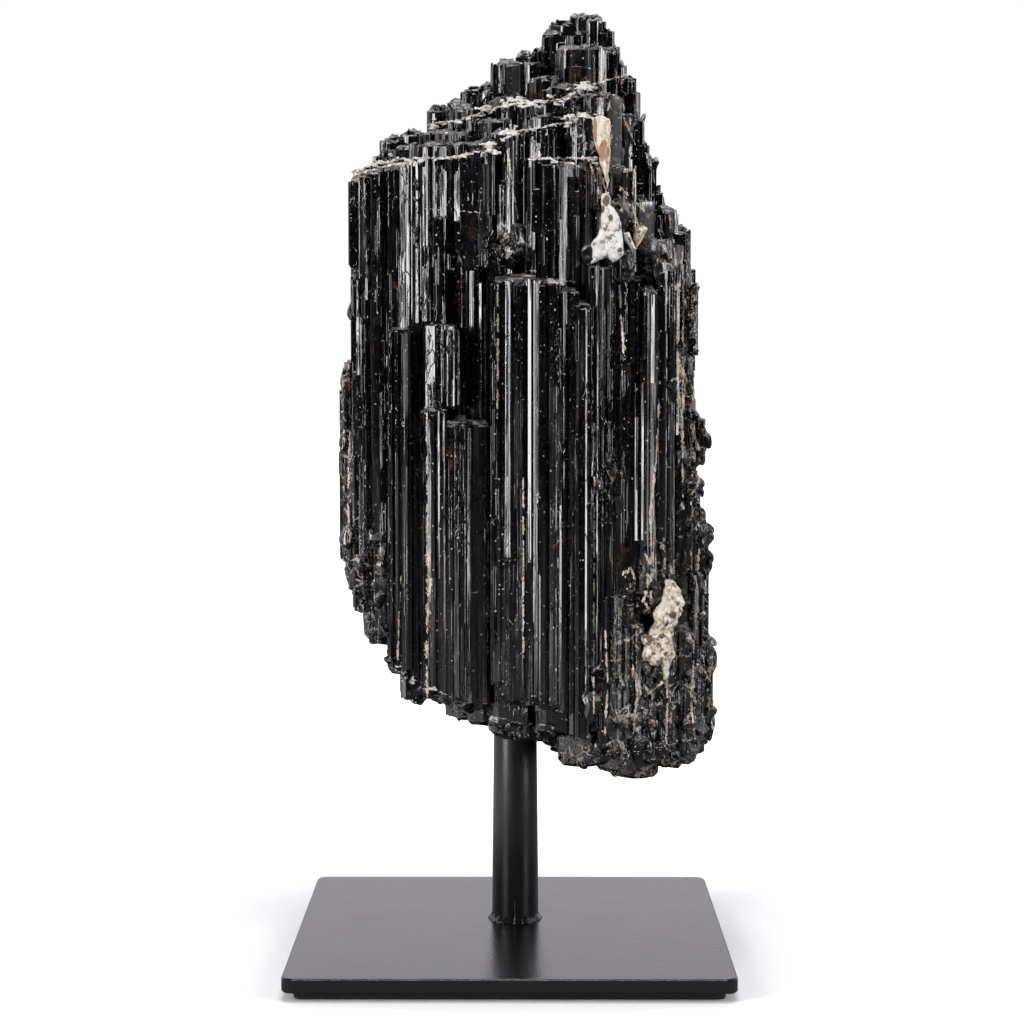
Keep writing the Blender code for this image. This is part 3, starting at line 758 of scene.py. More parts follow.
def growCrown():
    draw = random.Random(21)
    shape = random.Random(22)
    for x, y, half in walkPlan(draw, crownGrid):
        top = crownAt(x, y, half * 0.7) + draw.uniform(*crownGrid["ends"])
        turn = draw.uniform(0, 1)
        if x > 0.0:
            half = min(half, y - bundle["crownFront"])
        if planMargin(x, y) > crownGrid["margin"] and half > crownGrid["thinnest"]:
            low, foot = top - crownGrid["tall"], top - crownGrid["ribTall"]
            power, slope, rim = crownGrid["power"], crownGrid["slope"], crownGrid["rim"]
            spread, every = crownGrid["ribSpread"], crownGrid["ribEvery"]
            growColumn("wide", shape, (x, y), (half, half), turn, low, top, power, slope, rim)
            growRibs(shape, (x, y), (half, half), turn, foot, top, toFront, spread, slope, every)


def growKeel():
    draw = random.Random(35)
    shape = random.Random(36)
    for x, y, half in walkPlan(draw, keelGrid):
        low = keelAt(x, y) + draw.uniform(*keelGrid["ends"])
        turn = draw.uniform(0, 1)
        if planMargin(x, y) > keelGrid["margin"]:
            high = low + keelGrid["tall"]
            taper, rim = keelGrid["taper"], keelGrid["rim"]
            growColumn("wide", shape, (x, y), (half, half), turn, low, high, taper=taper, rim=rim)


def makeCore():
    count = len(plan)
    cylinder = {"vertices": count, "radius": 1.0, "depth": 2.0, "end_fill_type": "TRIFAN"}
    core = addPrimitive("tourmalineMass", bpy.ops.mesh.primitive_cylinder_add, **cylinder)
    for vert in core.data.vertices:
        x, y = bundle["coreMiddle"]
        if math.hypot(vert.co.x, vert.co.y) > 0.5:
            step = round(math.atan2(vert.co.y, vert.co.x) / math.tau * count)
            edgeX, edgeY = plan[(step + bundle["coreStart"]) % count]
            x += (edgeX - x) * bundle["coreShare"]
            y = max(y + (edgeY - y) * bundle["coreShare"], bundle["coreFront"])
        top = vert.co.z > 0
        z = crownAt(x, y, 0.004) - bundle["coreSink"] if top else keelAt(x, y) + bundle["coreSink"]
        vert.co = (x, y, z)
    return core


def keepOuterShell(obj):
    # the union leaves closed voids between crystals: only the shell that holds the topmost point stays
    activate(obj)
    top = max(obj.data.vertices, key=lambda vert: vert.co.z).index
    selectWhere(obj, "VERT", lambda vert: vert.index == top)
    bpy.ops.mesh.select_linked()
    bpy.ops.mesh.select_all(action="INVERT")
    bpy.ops.mesh.delete(type="VERT")
    bpy.ops.object.mode_set(mode="OBJECT")


def joinGrowing(mass):
    union = mass.modifiers.new("union", "BOOLEAN")
    union.operation = "UNION"
    union.operand_type = "COLLECTION"
    union.collection = growing
    union.solver = "MANIFOLD"
    applyModifiers(mass)
    for piece in list(growing.objects):
        bpy.data.objects.remove(piece)
    keepOuterShell(mass)
    mass.data.calc_loop_triangles()
    print("tourmaline:", len(mass.data.loop_triangles), "triangles")


frontBlocks = leftBlock + middleBlock + centreBlock + lowerBlock
growPlaced(frontBlocks, placed["depth"], 100, 0.50, 0.0003)
growPlaced(rightBlock, placed["depth"], 150, 0.80, 0.0014)
growPlaced(skyline, placed["skylineDepth"], 200, 0.66, 0.0011)
growSides()
growCrown()
growKeel()
tourmaline = makeCore()
joinGrowing(tourmaline)


# the ledges, flat facets and broken lumps on the crystals

# across the front, x and z of the worn edges where the crystals break off
ledges = tenths((
    ((-429, 2188), (-334, 2215), (-261, 2223), (-166, 2223), (-79, 2242), (-22, 2253)),
    ((-27, 2274), (22, 2296), (103, 2309), (176, 2325), (247, 2336)), ((54, 2223), (244, 2223)),
    ((-239, 2312), (-138, 2325), (-5, 2368), (138, 2382), (211, 2417), (320, 2449)),
))
bareLedges = tenths((
    ((40, 1917), (78, 1919)), ((100, 1904), (183, 1886)), ((-231, 2086), (-174, 2082)),
    ((-138, 2080), (-79, 2076)),
))
# x and z of the thin dashed line of pale grains along the keel: partly crust, partly a painted highlight on
# the groove there
keelCrustAndHighlight = tenths(((-326, 828), (-83, 705), (138, 641), (249, 585), (387, 599), (498, 627)))

# low x, high x, top z and bottom z in tenths of a millimetre, turn in hundredths of a radian, and
# how many strips side by side
facets = (
    (-278, -244, 2216, 1779, -44, 2), (-243, -237, 2216, 1800, -46, 1), (-228, -199, 1776, 1548, -45, 1),
    (-196, -172, 1774, 1548, 47, 1), (-170, -146, 1772, 1556, -43, 1), (-223, -200, 1518, 1021, -46, 2),
    (-13, 6, 1892, 1150, -43, 1), (41, 52, 1894, 1300, -45, 1), (53, 63, 1894, 1120, -49, 1),
    (64, 74, 1894, 960, -46, 1), (54, 73, 2218, 1973, -44, 2), (-408, -402, 2165, 1900, -46, 1),
    (-391, -384, 2160, 1840, -42, 1), (-417, -398, 1800, 1640, -47, 1), (337, 350, 1622, 1185, 44, 1),
    (354, 372, 1622, 1190, 50, 1), (378, 396, 1615, 1250, 42, 1), (120, 131, 1750, 1060, 46, 1),
    (150, 160, 1560, 860, 43, 1), (-140, -132, 1490, 1150, -44, 1), (-290, -278, 1700, 980, -41, 2),
    (33, 40, 1230, 800, -45, 1), (74, 80, 1280, 760, 46, 1), (-350, -344, 2200, 1500, 45, 1),
    (-111, -106, 2190, 2100, -45, 1), (262, 270, 1900, 1500, 44, 1),
)
ledgeColumns = {"every": 0.0011, "below": 0.0010, "halfX": (0.0009, 0.0017), "halfY": (0.0010, 0.0018),
                "tall": (0.0012, 0.0045)}
# in tenths of a millimetre, low and high corner across the front, how many lumps, and their
# smallest and largest half size
rubble = (
    ((245, 600), (400, 900), 46, (20, 46)), ((380, 600), (500, 1000), 30, (18, 40)),
    ((340, 980), (450, 1180), 18, (12, 32)), ((500, 600), (570, 1120), 26, (12, 32)),
    ((-465, 950), (-340, 1200), 34, (12, 34)), ((-480, 1200), (-440, 1640), 22, (10, 24)),
    ((440, 1000), (530, 1960), 56, (10, 28)), ((380, 1900), (470, 2060), 10, (14, 30)),
    ((300, 2060), (400, 2400), 22, (12, 28)), ((240, 1230), (300, 1410), 16, (8, 18)),
    ((-420, 2190), (-300, 2300), 10, (10, 24)), ((-100, 2250), (240, 2420), 26, (10, 22)),
    ((545, 590), (566, 900), 22, (10, 25)), ((530, 890), (552, 1250), 18, (10, 25)),
    ((505, 1250), (540, 1530), 12, (10, 24)), ((488, 1530), (516, 1900), 14, (10, 24)),
)
clearOf = tenths(((455, 1015, 55), (415, 905, 55), (275, 1995, 60), (250, 2280, 50)))
keelBand = {"every": 0.0011, "above": 0.0035, "half": (0.0012, 0.0030), "clearX": -0.0060, "clear": 0.0035}
# x, z, half size of the broken bits in front of the hole for the post
postRubble = tenths((
    (-51, 672, 12), (-35, 660, 13), (-16, 649, 15), (5, 643, 13), (27, 640, 16), (51, 640, 13),
    (72, 643, 15), (-40, 684, 15), (-7, 666, 13), (26, 663, 15), (56, 666, 14),
))
# x, z, half size of the big rounded lumps
nodules = tenths((
    (378, 1985, 30), (380, 1931, 26), (318, 1941, 26), (298, 2087, 34), (416, 1977, 20), (20, 2012, 34),
    (-12, 2005, 22), (215, 1965, 24), (384, 982, 34), (362, 1010, 30),
))
sideRubble = {"lumps": 100, "low": 0.070, "high": 0.215, "half": (0.0012, 0.0034)}
keelRubble = {"lumps": 80, "half": (0.0018, 0.0044), "x": (-0.040, 0.054), "y": (-0.026, 0.034),
              "hole": (0.0014, 0.0073), "clearOfHole": 0.0105}
shapeBox = ((-0.0482, -0.0320, 0.0499), (0.0580, 0.0460, 0.2655))   # the crystals keep inside this


def meetStone(start, way):
    hit, place, normal, _ = tourmaline.ray_cast(start, way)
    return (place, normal) if hit else (None, None)


def meetFront(x, z):
    # where the line of sight through a place just in front of the crystals meets them
    eye = Vector(view["place"])
    return meetStone(eye, (Vector((x, bundle["frontY"], z)) - eye).normalized())


def meetSide(around, z):
    # from 200 mm off the middle
    x, y = bundle["coreMiddle"]
    start = Vector((x + 0.2 * math.cos(around), y + 0.2 * math.sin(around), z))
    return meetStone(start, -Vector((math.cos(around), math.sin(around), 0.0)))


def meetUnder(x, y):
    return meetStone(Vector((x, y, 0.02)), Vector((0.0, 0.0, 1.0)))


def walkLine(points, every):
    for (x0, z0), (x1, z1) in zip(points, points[1:]):
        steps = max(1, round(math.hypot(x1 - x0, z1 - z0) / every))
        for step in range(steps):
            yield x0 + (x1 - x0) * step / steps, z0 + (z1 - z0) * step / steps


def makeSphere(name, subdivisions):
    sphere = {"subdivisions": subdivisions, "radius": 1.0}
    return addPrimitive(name, bpy.ops.mesh.primitive_ico_sphere_add, **sphere)


lumpMasters = {"small": makeSphere("small lump", 2), "large": makeSphere("large lump", 3)}
brokenLump = {"level": (0.50, 0.85), "swell": 0.30, "coarse": 1.3, "large": 0.0026}


def brokenRadius(draw, cuts):
    # a rounded lump broken by flat faces; returns how far it reaches in any direction
    planes = []
    for _ in range(cuts):
        normal = Vector((draw.gauss(0, 1), draw.gauss(0, 1), draw.gauss(0, 1))).normalized()
        planes.append((normal, draw.uniform(*brokenLump["level"])))
    shift = Vector((draw.uniform(0, 50), draw.uniform(0, 50), draw.uniform(0, 50)))

    def reach(way):
        radius = 1.0 + brokenLump["swell"] * noise.noise(way * brokenLump["coarse"] + shift)
        for normal, level in planes:
            facing = way.dot(normal)
            if facing > 0.05:
                radius = min(radius, level / facing)
        return radius

    return reach


def growLump(draw, place, half, cuts=7):
    master = lumpMasters["large" if max(half) > brokenLump["large"] else "small"]
    reach = brokenRadius(draw, cuts)
    tumble = Euler((draw.uniform(-0.5, 0.5), draw.uniform(-0.5, 0.5), draw.uniform(0, math.tau)))
    tumble = tumble.to_matrix()
    mesh = master.data.copy()
    for vert in mesh.vertices:
        way = vert.co.normalized()
        way = way * reach(way)
        spot = place + tumble @ Vector((way.x * half[0], way.y * half[1], way.z * half[2]))
        vert.co = [min(max(value, low), high) for value, low, high in zip(spot, *shapeBox)]
    growing.objects.link(bpy.data.objects.new("lump", mesh))


def growLedges():
    draw = random.Random(51)
    for points in ledges:
        for x, z in walkLine(points, ledgeColumns["every"]):
            place, _ = meetFront(x + draw.uniform(-0.0003, 0.0003), z - ledgeColumns["below"])
            if place is None:
                continue
            half = (draw.uniform(*ledgeColumns["halfX"]), draw.uniform(*ledgeColumns["halfY"]))
            spot = (place.x, place.y + half[1] - draw.uniform(0.0002, 0.0007))
            top = place.z + ledgeColumns["below"] + draw.uniform(-0.0003, 0.0002)
            low = top - draw.uniform(*ledgeColumns["tall"])
            turn = draw.uniform(-0.4, 0.4)
            growColumn("slim", draw, spot, half, turn, low, top, 0.7, 0.30, 0.0002, uneven=0.15)


facetSlab = {"deep": 0.0011, "gap": 0.00008, "power": 0.25, "slope": 0.2, "rim": 0.0002, "uneven": 0.012}


def growFacets():
    # thin flat slabs set in the crystals, turned to catch the light
    draw = random.Random(61)
    for *edges, turn, strips in facets:
        lowX, highX, top, bottom = tenths(tuple(edges))
        turn /= 100
        wide = (highX - lowX) / strips
        for strip in range(strips):
            x = lowX + (strip + 0.5) * wide
            fronts = [meetFront(x, bottom + (top - bottom) * share)[0] for share in (0.15, 0.5, 0.85)]
            fronts = sorted((place.y, place.x) for place in fronts if place is not None)
            if not fronts:
                continue
            y, x = fronts[len(fronts) // 2]
            half = (wide / 2 / math.cos(turn) - facetSlab["gap"], facetSlab["deep"])
            y += half[1] * math.cos(turn) + draw.uniform(-0.00025, 0.00005)
            high = top + draw.uniform(-0.0006, 0.0002)
            low = bottom + draw.uniform(-0.001, 0.001)
            lean = turn + draw.uniform(-0.03, 0.03)
            power, slope, rim = facetSlab["power"], facetSlab["slope"], facetSlab["rim"]
            growColumn("slab", draw, (x, y), half, lean, low, high, power, slope, rim,
                       uneven=facetSlab["uneven"], spin=math.pi / 4)


def lumpHalf(draw, size, *spans):
    # half sizes, each as a share of the size: either fixed or drawn between two
    return tuple(size * (draw.uniform(*span) if isinstance(span, tuple) else span) for span in spans)


def growRubble():
    draw = random.Random(71)
    for low, high, count, sizes in rubble:
        (lowX, lowZ), (highX, highZ), sizes = tenths((low, high, sizes))
        for _ in range(count):
            x, z = draw.uniform(lowX, highX), draw.uniform(lowZ, highZ)
            place, normal = meetFront(x, z)
            size = draw.uniform(*sizes)
            if any(math.hypot(x - clearX, z - clearZ) < clear for clearX, clearZ, clear in clearOf):
                continue
            half = lumpHalf(draw, size, (0.6, 1.1), (0.6, 1.0), (0.9, 1.9))
            if place is not None:
                growLump(draw, place - normal * size * draw.uniform(0.30, 0.70), half, 12)
    for x, z in walkLine(keel, keelBand["every"]):
        place, normal = meetFront(x, z + draw.uniform(0.0008, keelBand["above"]))
        size = draw.uniform(*keelBand["half"])
        if place is not None and abs(x - keelBand["clearX"]) > keelBand["clear"]:
            growLump(draw, place - normal * size * 0.6, lumpHalf(draw, size, 1.0, 0.8, (0.6, 1.0)), 13)
    ragged = random.Random(73)
    for x, z, size in postRubble:
        place, normal = meetFront(x, z)
        if place is not None:
            growLump(ragged, place - normal * size * 0.3, (size, size, size * 0.9), 12)
    for x, z, size in nodules:
        place, _ = meetFront(x, z)
        growLump(draw, place + Vector((0.0, size * 0.2, 0.0)), (size, size, size * 1.15), 2)
    for _ in range(sideRubble["lumps"]):
        around = draw.uniform(-0.3, math.pi + 0.3)
        place, normal = meetSide(around, draw.uniform(sideRubble["low"], sideRubble["high"]))
        size = draw.uniform(*sideRubble["half"])
        half = lumpHalf(draw, size, (0.7, 1.1), (0.6, 1.0), (0.8, 1.8))
        if place is not None:
            growLump(draw, place - normal * size * draw.uniform(0.2, 0.6), half)
    holeX, holeY = keelRubble["hole"]
    for _ in range(keelRubble["lumps"]):
        x, y = draw.uniform(*keelRubble["x"]), draw.uniform(*keelRubble["y"])
        place, normal = meetUnder(x, y)
        size = draw.uniform(*keelRubble["half"])
        if place is not None and math.hypot(x - holeX, y - holeY) > keelRubble["clearOfHole"]:
            half = lumpHalf(draw, size, 1.0, (0.6, 1.0), (0.5, 0.9))
            growLump(draw, place - normal * size * draw.uniform(0.2, 0.6), half)


growLedges()
growFacets()
growRubble()
joinGrowing(tourmaline)
bpy.data.collections.remove(growing)
for master in [master for master, *_ in masters.values()] + list(lumpMasters.values()):
    bpy.data.objects.remove(master)
activate(tourmaline)
bpy.ops.object.shade_smooth_by_angle(angle=math.radians(24))


# eggs on the stone, each a middle and three half sizes
roughZones = tenths((
    ((420, -180, 840), (190, 180, 320)), ((-410, -80, 1080), (100, 140, 220)),
    ((500, -40, 1550), (80, 160, 500)), ((275, -260, 1330), (40, 60, 100)),
    ((380, -170, 1990), (80, 100, 110)), ((240, -150, 2360), (110, 140, 160)),
    ((280, -100, 560), (260, 260, 90)), ((10, -200, 2000), (60, 100, 60)),
    ((-445, -40, 1450), (40, 100, 300)),
))
glossyZones = tenths((
    ((-258, -240, 2000), (30, 80, 240)), ((28, -310, 1560), (62, 80, 380)),
    ((63, -240, 2095), (18, 80, 140)), ((-212, -280, 1270), (20, 80, 280)),
    ((366, -240, 1400), (34, 80, 220)),
))
mattZones = tenths((((290, -180, 2290), (32, 120, 130)), ((380, -120, 2045), (34, 120, 60))))
shatteredZones = tenths((((-187, -270, 1662), (50, 80, 120)), ((-255, -240, 2050), (12, 60, 130))))


def makeTourmalineMaterial():
    material, tree, shader = plainMaterial("black tourmaline")
    place = addNode(tree, "TexCoord").outputs["Object"]
    lines = useGroup(tree, striationGroup, Cracks=1.0)
    specks = useGroup(tree, speckGroup, Scale=1000.0, Size=0.19, Share=0.30)
    dots = useGroup(tree, speckGroup, Scale=2100.0, Size=0.30, Share=0.40)
    web = useGroup(tree, crackleGroup, Scale=330.0, Thickness=0.10)
    drawn = stretchNode(tree, place, 1.0, 1.0, 0.42)
    shatter = useGroup(tree, crackleGroup, drawn, Scale=620.0, Thickness=0.12)
    shattered = times(tree, shatter["Mask"], zoneMask(tree, place, shatteredZones))
    zone = zoneMask(tree, place, roughZones)
    facing = addNode(tree, "NewGeometry").outputs["True Normal"]
    upward = rangeNode(tree, axisOf(tree, facing, "Z"), 0.30, 0.75)
    blotch = noiseNode(tree, place, 420, 3.0, 0.7)
    stain = noiseNode(tree, place, 75, 4.0, 0.65)
    # the black, browner here and there, then black cracks
    colour = rangeNode(tree, blotch, 0.35, 0.7)
    colour = mixColour(tree, colour, (0.0015, 0.0015, 0.0020), (0.0070, 0.0066, 0.0090))
    brown = times(tree, rangeNode(tree, stain, 0.56, 0.68), rangeNode(tree, blotch, 0.45, 0.6))
    colour = mixColour(tree, times(tree, brown, 0.6), colour, (0.075, 0.034, 0.014))
    crack = mathNode(tree, "MAXIMUM", times(tree, lines["Crack"], 0.9), shattered)
    colour = mixColour(tree, crack, colour, (0.0, 0.0, 0.0))
    # grey dust on the tops, and pale veins and specks, most of all in the rough zones
    dusty = times(tree, upward, rangeNode(tree, blotch, 0.44, 0.62), clamp=True)
    dusty = times(tree, dusty, rangeNode(tree, zone, 0.0, 1.0, 0.42, 0.22))
    colour = mixColour(tree, dusty, colour, (0.52, 0.48, 0.45))
    pale = times(tree, times(tree, web["Mask"], zone), 0.9)
    dotted = times(tree, dots["Mask"], plus(tree, times(tree, zone, 0.6), 0.15))
    dotted = mathNode(tree, "MAXIMUM", dotted, specks["Mask"])
    pale = mathNode(tree, "MAXIMUM", pale, times(tree, dotted, 0.7), clamp=True)
    cream = mixColour(tree, rangeNode(tree, stain, 0.40, 0.60), (0.66, 0.65, 0.65), (0.58, 0.46, 0.35))
    tree.links.new(mixColour(tree, pale, colour, cream), shader.inputs["Base Color"])
    # glassy down the sides, duller on tops, in the zones and on what is pale
    rough = rangeNode(tree, lines["Streak"], 0.3, 0.7, 0.06, 0.20)
    rough = plus(tree, rough, rangeNode(tree, drawnNoise(tree, place, 170, 22), 0.52, 0.64, 0.0, 0.18))
    for mask, amount in ((zone, 0.04), (upward, 0.30), (zoneMask(tree, place, mattZones), 0.50)):
        rough = plus(tree, rough, times(tree, mask, amount))
    rough = plus(tree, rough, times(tree, pale, 0.35), clamp=True)
    tree.links.new(rough, shader.inputs["Roughness"])
    shader.inputs["IOR"].default_value = 1.63
    # the lines stand out less on some crystals and hardly at all on the glossy ones
    finish = rangeNode(tree, drawnNoise(tree, place, 150, 7, 1.0), 0.40, 0.58, 0.22, 0.95)
    calm = rangeNode(tree, zoneMask(tree, place, glossyZones), 0.0, 1.0, 1.0, 0.30)
    broken = times(tree, times(tree, noiseNode(tree, place, 700, 2.0, 0.6), zone), 0.5)
    height = plus(tree, times(tree, lines["Height"], times(tree, finish, calm)), broken)
    height = mathNode(tree, "SUBTRACT", height, times(tree, shattered, 1.2))
    addBump(tree, shader, height, 0.60, 0.00040)
    return material


finishPiece(tourmaline, "tourmaline", "tourmaline", makeTourmalineMaterial())
print("tourmaline ready")


# the pale crust on the ledges, with a painted highlight along the keel, the seams between crystals and the
# loose flecks, some of them painted glints

# half width in hundredths of a millimetre, then x and z down the seam in tenths of one
seams = (
    (18, ((-227, 1570), (-227, 1140))), (85, ((-226, 1140), (-224, 1060), (-226, 980))),
    (35, ((-226, 980), (-230, 850), (-228, 690))), (14, ((36, 1350), (37, 855))),
    (22, ((410, 1620), (400, 1400), (384, 1240), (392, 1120))),
    (50, ((385, 1130), (383, 1062), (389, 1010))), (45, ((410, 960), (385, 930), (366, 925))),
    (70, ((432, 822), (431, 772))), (30, ((434, 772), (434, 700), (431, 620))),
    (22, ((506, 905), (505, 794))), (75, ((504, 794), (500, 753), (503, 700))),
    (30, ((503, 700), (514, 608))), (28, ((-441, 1700), (-438, 1481), (-445, 1287), (-440, 1180))),
    (18, ((-33, 1880), (-32, 1700), (-35, 1515))),
    (35, ((471, 1978), (458, 1840), (456, 1620), (471, 1509), (474, 1300))),
    (20, ((298, 1879), (304, 1784), (313, 1676))), (18, ((-8, 2250), (10, 2130), (22, 2060))),
    (22, ((245, 2215), (250, 2090), (236, 1950))), (25, ((340, 2200), (330, 2100), (352, 2030))),
    (35, ((430, 2080), (445, 2000), (452, 1930))), (14, ((-60, 1230), (-62, 860))),
    (14, ((232, 1500), (231, 700))), (22, ((262, 930), (270, 780), (262, 640))),
    (20, ((335, 860), (352, 760), (340, 640))), (18, ((-300, 1080), (-310, 850))),
    (18, ((300, 2440), (310, 2330), (340, 2260))),
    (30, ((340, 1141), (369, 1148), (388, 1112), (384, 1068), (375, 1035))),
    (26, ((307, 1086), (333, 1103), (345, 1068))),
    (30, ((386, 1156), (424, 1156), (425, 1119), (417, 1082))),
    (45, ((380, 1068), (368, 1016), (388, 980), (397, 947))), (24, ((418, 1214), (425, 1185), (409, 1154))),
    (24, ((315, 836), (345, 818), (361, 759), (345, 725))),
    (22, ((282, 891), (315, 902), (352, 921), (370, 943))), (22, ((378, 751), (404, 773), (427, 795))),
    (28, ((453, 1885), (457, 1796), (454, 1715))),
    (80, ((458, 1678), (473, 1633), (505, 1594), (494, 1536))),
    (45, ((406, 2001), (425, 1973), (434, 1946))), (50, ((466, 1619), (477, 1589), (470, 1530))),
    (45, ((512, 1373), (517, 1336), (497, 1306))), (30, ((520, 1156), (513, 1096))),
    (35, ((286, 2153), (322, 2124), (366, 2080))),
    (34, ((213, 2222), (227, 2178), (240, 2142), (249, 2103))),
    (30, ((230, 2232), (244, 2186), (256, 2150), (262, 2128))),
)
crust = {"every": 0.00030, "above": 0.0016, "below": -0.0014, "step": 0.0003, "half": (0.00020, 0.00050)}
seamGrains = {"every": 0.00030, "half": (0.00010, 0.00030)}
flecks = {"count": 3600, "half": (0.00009, 0.00026), "gather": 110.0}
topGrains = {"tries": 5200, "half": (0.00012, 0.00034), "x": (-0.046, 0.056), "z": (0.080, 0.264)}


def buildGrains(name, draw, spots, slot, material):
    # one small stone, turned, stretched and set down again at each spot
    master = makeSphere("grain", 1)
    corners = [vert.co.copy() for vert in master.data.vertices]
    faces = [tuple(face.vertices) for face in master.data.polygons]
    places, rings = [], []
    for place, normal, half in spots:
        turn = normal.to_track_quat("Z", "Y") @ Quaternion((0.0, 0.0, 1.0), draw.gauss(0.0, 0.35))
        start = len(places)
        for corner in corners:
            size = draw.uniform(0.75, 1.2)
            way = Vector((corner.x * half[0], corner.y * half[1], corner.z * half[2])) * size
            places.append(place + turn @ way)
        rings += [tuple(start + index for index in face) for face in faces]
    bpy.data.objects.remove(master)
    mesh = bpy.data.meshes.new(name)
    mesh.from_pydata(places, [], rings)
    grains = bpy.data.objects.new(name, mesh)
    scene.collection.objects.link(grains)
    finishPiece(grains, "tourmaline", slot, material)
    print(name + ":", len(spots), "grains")


def makePaleMaterial(name, pale, dull, stain, rough):
    material, tree, shader = plainMaterial(name)
    place = addNode(tree, "TexCoord").outputs["Object"]
    blotch = noiseNode(tree, place, 700, 4.0, 0.65)
    colour = mixColour(tree, rangeNode(tree, blotch, 0.38, 0.62), pale, dull)
    spots = rangeNode(tree, noiseNode(tree, place, 330, 4.0, 0.7), 0.54, 0.64)
    colour = mixColour(tree, times(tree, spots, 0.8), colour, stain)
    tree.links.new(colour, shader.inputs["Base Color"])
    rough = rangeNode(tree, blotch, 0.3, 0.7, rough - 0.1, rough + 0.1)
    tree.links.new(rough, shader.inputs["Roughness"])
    addBump(tree, shader, noiseNode(tree, place, 3500, 3.0), 0.4, 0.0001)
    return material


def crustSpots(draw, line, thin=1.0):
    # wherever the ledge's broken top shows near the line, or on the line where it doesn't
    for x, z in walkLine(line, crust["every"]):
        above, found = crust["above"], 0
        while above > crust["below"]:
            place, normal = meetFront(x + draw.uniform(-0.0002, 0.0002), z + above)
            above -= crust["step"]
            if place is None or normal.z < 0.30 or draw.random() < 0.08:
                continue
            found += 1
            half = draw.uniform(*crust["half"]) * thin
            halves = (half * draw.uniform(1.4, 3.2), half * 0.9, half * 0.6)
            yield place + normal * half * 0.2, normal, halves
        if found < 2 and draw.random() < 0.85 * thin:
            place, normal = meetFront(x, z + draw.uniform(-0.0002, 0.0002))
            half = draw.uniform(*crust["half"]) * thin * 0.7
            if place is not None:
                yield place, normal, (half * 2.4, half * 0.8, half * 0.7)


def seamSpots(draw, wide, line):
    # the seam swells, thins out and breaks off as it goes down
    for x, z in walkLine(line, seamGrains["every"]):
        swell = 0.55 + 1.7 * noise.noise(Vector((x * 300.0, 5.0, z * 290.0)))
        here = wide * min(max(swell, 0.0), 1.4)
        for _ in range(1 + round(here / 0.00020)):
            if here < wide * 0.22 or draw.random() < 0.12:
                continue
            place, normal = meetFront(x + draw.gauss(0.0, here * 0.5), z + draw.uniform(-0.0004, 0.0004))
            half = draw.uniform(*seamGrains["half"])
            if place is not None and normal.z < 0.8:
                yield place, normal, (half, half * draw.uniform(1.2, 2.6), half * 0.5)


def topSpots(draw):
    # scattered over the broken tops that face up
    for _ in range(topGrains["tries"]):
        place, normal = meetFront(draw.uniform(*topGrains["x"]), draw.uniform(*topGrains["z"]))
        half = draw.uniform(*topGrains["half"])
        if place is not None and normal.z > 0.45:
            yield place, normal, (half * draw.uniform(1.0, 2.0), half, half * 0.6)


def fleckSpots(draw):
    # all over the crystals, gathered in patches
    mesh = tourmaline.data
    mesh.calc_loop_triangles()
    triangles = mesh.loop_triangles
    reach, total = [], 0.0
    for triangle in triangles:
        total += triangle.area
        reach.append(total)
    for _ in range(flecks["count"]):
        triangle = triangles[bisect.bisect_left(reach, draw.uniform(0.0, total * 0.999999))]
        first, second = sorted((draw.random(), draw.random()))
        a, b, c = (mesh.vertices[index].co for index in triangle.vertices)
        place = a * first + b * (second - first) + c * (1.0 - second)
        gathered = noise.noise(place * flecks["gather"]) > 0.05 or draw.random() < 0.25
        half = draw.uniform(*flecks["half"])
        if gathered:
            yield place, triangle.normal.copy(), (half, half * draw.uniform(1.0, 2.2), half * 0.5)


crustDraw = random.Random(81)
paleCrustAndKeelHighlight = makePaleMaterial("pale crust and painted keel highlight", (0.74, 0.71, 0.69), (0.56, 0.52, 0.48),
                              (0.30, 0.20, 0.12), 0.55)
creamSeam = makePaleMaterial("cream seam", (0.70, 0.62, 0.53), (0.50, 0.40, 0.30), (0.26, 0.14, 0.07), 0.60)
# the flecks are partly pale mica specks and partly painted glints, pale grains for the bright glints of
# tiny chips
glint = makePaleMaterial("pale flecks and painted glints", (0.72, 0.70, 0.68), (0.52, 0.40, 0.27), (0.34, 0.20, 0.09), 0.30)
spots = [spot for line in ledges for spot in crustSpots(crustDraw, line)] + list(topSpots(crustDraw))
# thinner crust on the bare ledges; along the keel the pale grains are partly a painted highlight
spots += [spot for line in bareLedges + (keelCrustAndHighlight,) for spot in crustSpots(crustDraw, line, 0.5)]
buildGrains("ledgeCrustAndKeelHighlight", crustDraw, spots, "white_feldspar", paleCrustAndKeelHighlight)
spots = [spot for wide, line in seams for spot in seamSpots(crustDraw, wide / 100000, tenths(line))]
buildGrains("paleSeams", crustDraw, spots, "cream_feldspar", creamSeam)
# pale specks, with painted glints among them
buildGrains("flecks", crustDraw, list(fleckSpots(crustDraw)), "cream_feldspar", glint)


# the pale patches

# x and z round each edge, as seen from the front
whiteOutline = tenths((
    (266, 2129), (248, 2123), (248, 2085), (250, 2068), (247, 2041), (238, 2012), (221, 1989), (224, 1963),
    (218, 1936), (233, 1941), (262, 1954), (280, 1942), (291, 1945), (305, 1960), (306, 1983), (301, 2041),
    (291, 2071), (273, 2097),
))
shardOutline = tenths(((308, 2019), (324, 2019), (330, 2001), (342, 1975), (330, 1975), (311, 2001)))
cornerOutline = tenths((
    (338, 2049), (346, 2032), (363, 2043), (375, 2032), (366, 2014), (352, 1991), (343, 1979), (337, 2005),
))
stripOutline = tenths((
    (224, 2329), (247, 2337), (270, 2328), (272, 2290), (272, 2255), (271, 2220), (268, 2208), (268, 2168),
    (266, 2133), (257, 2168), (251, 2192), (246, 2208), (242, 2227), (236, 2243), (230, 2267), (224, 2302),
))
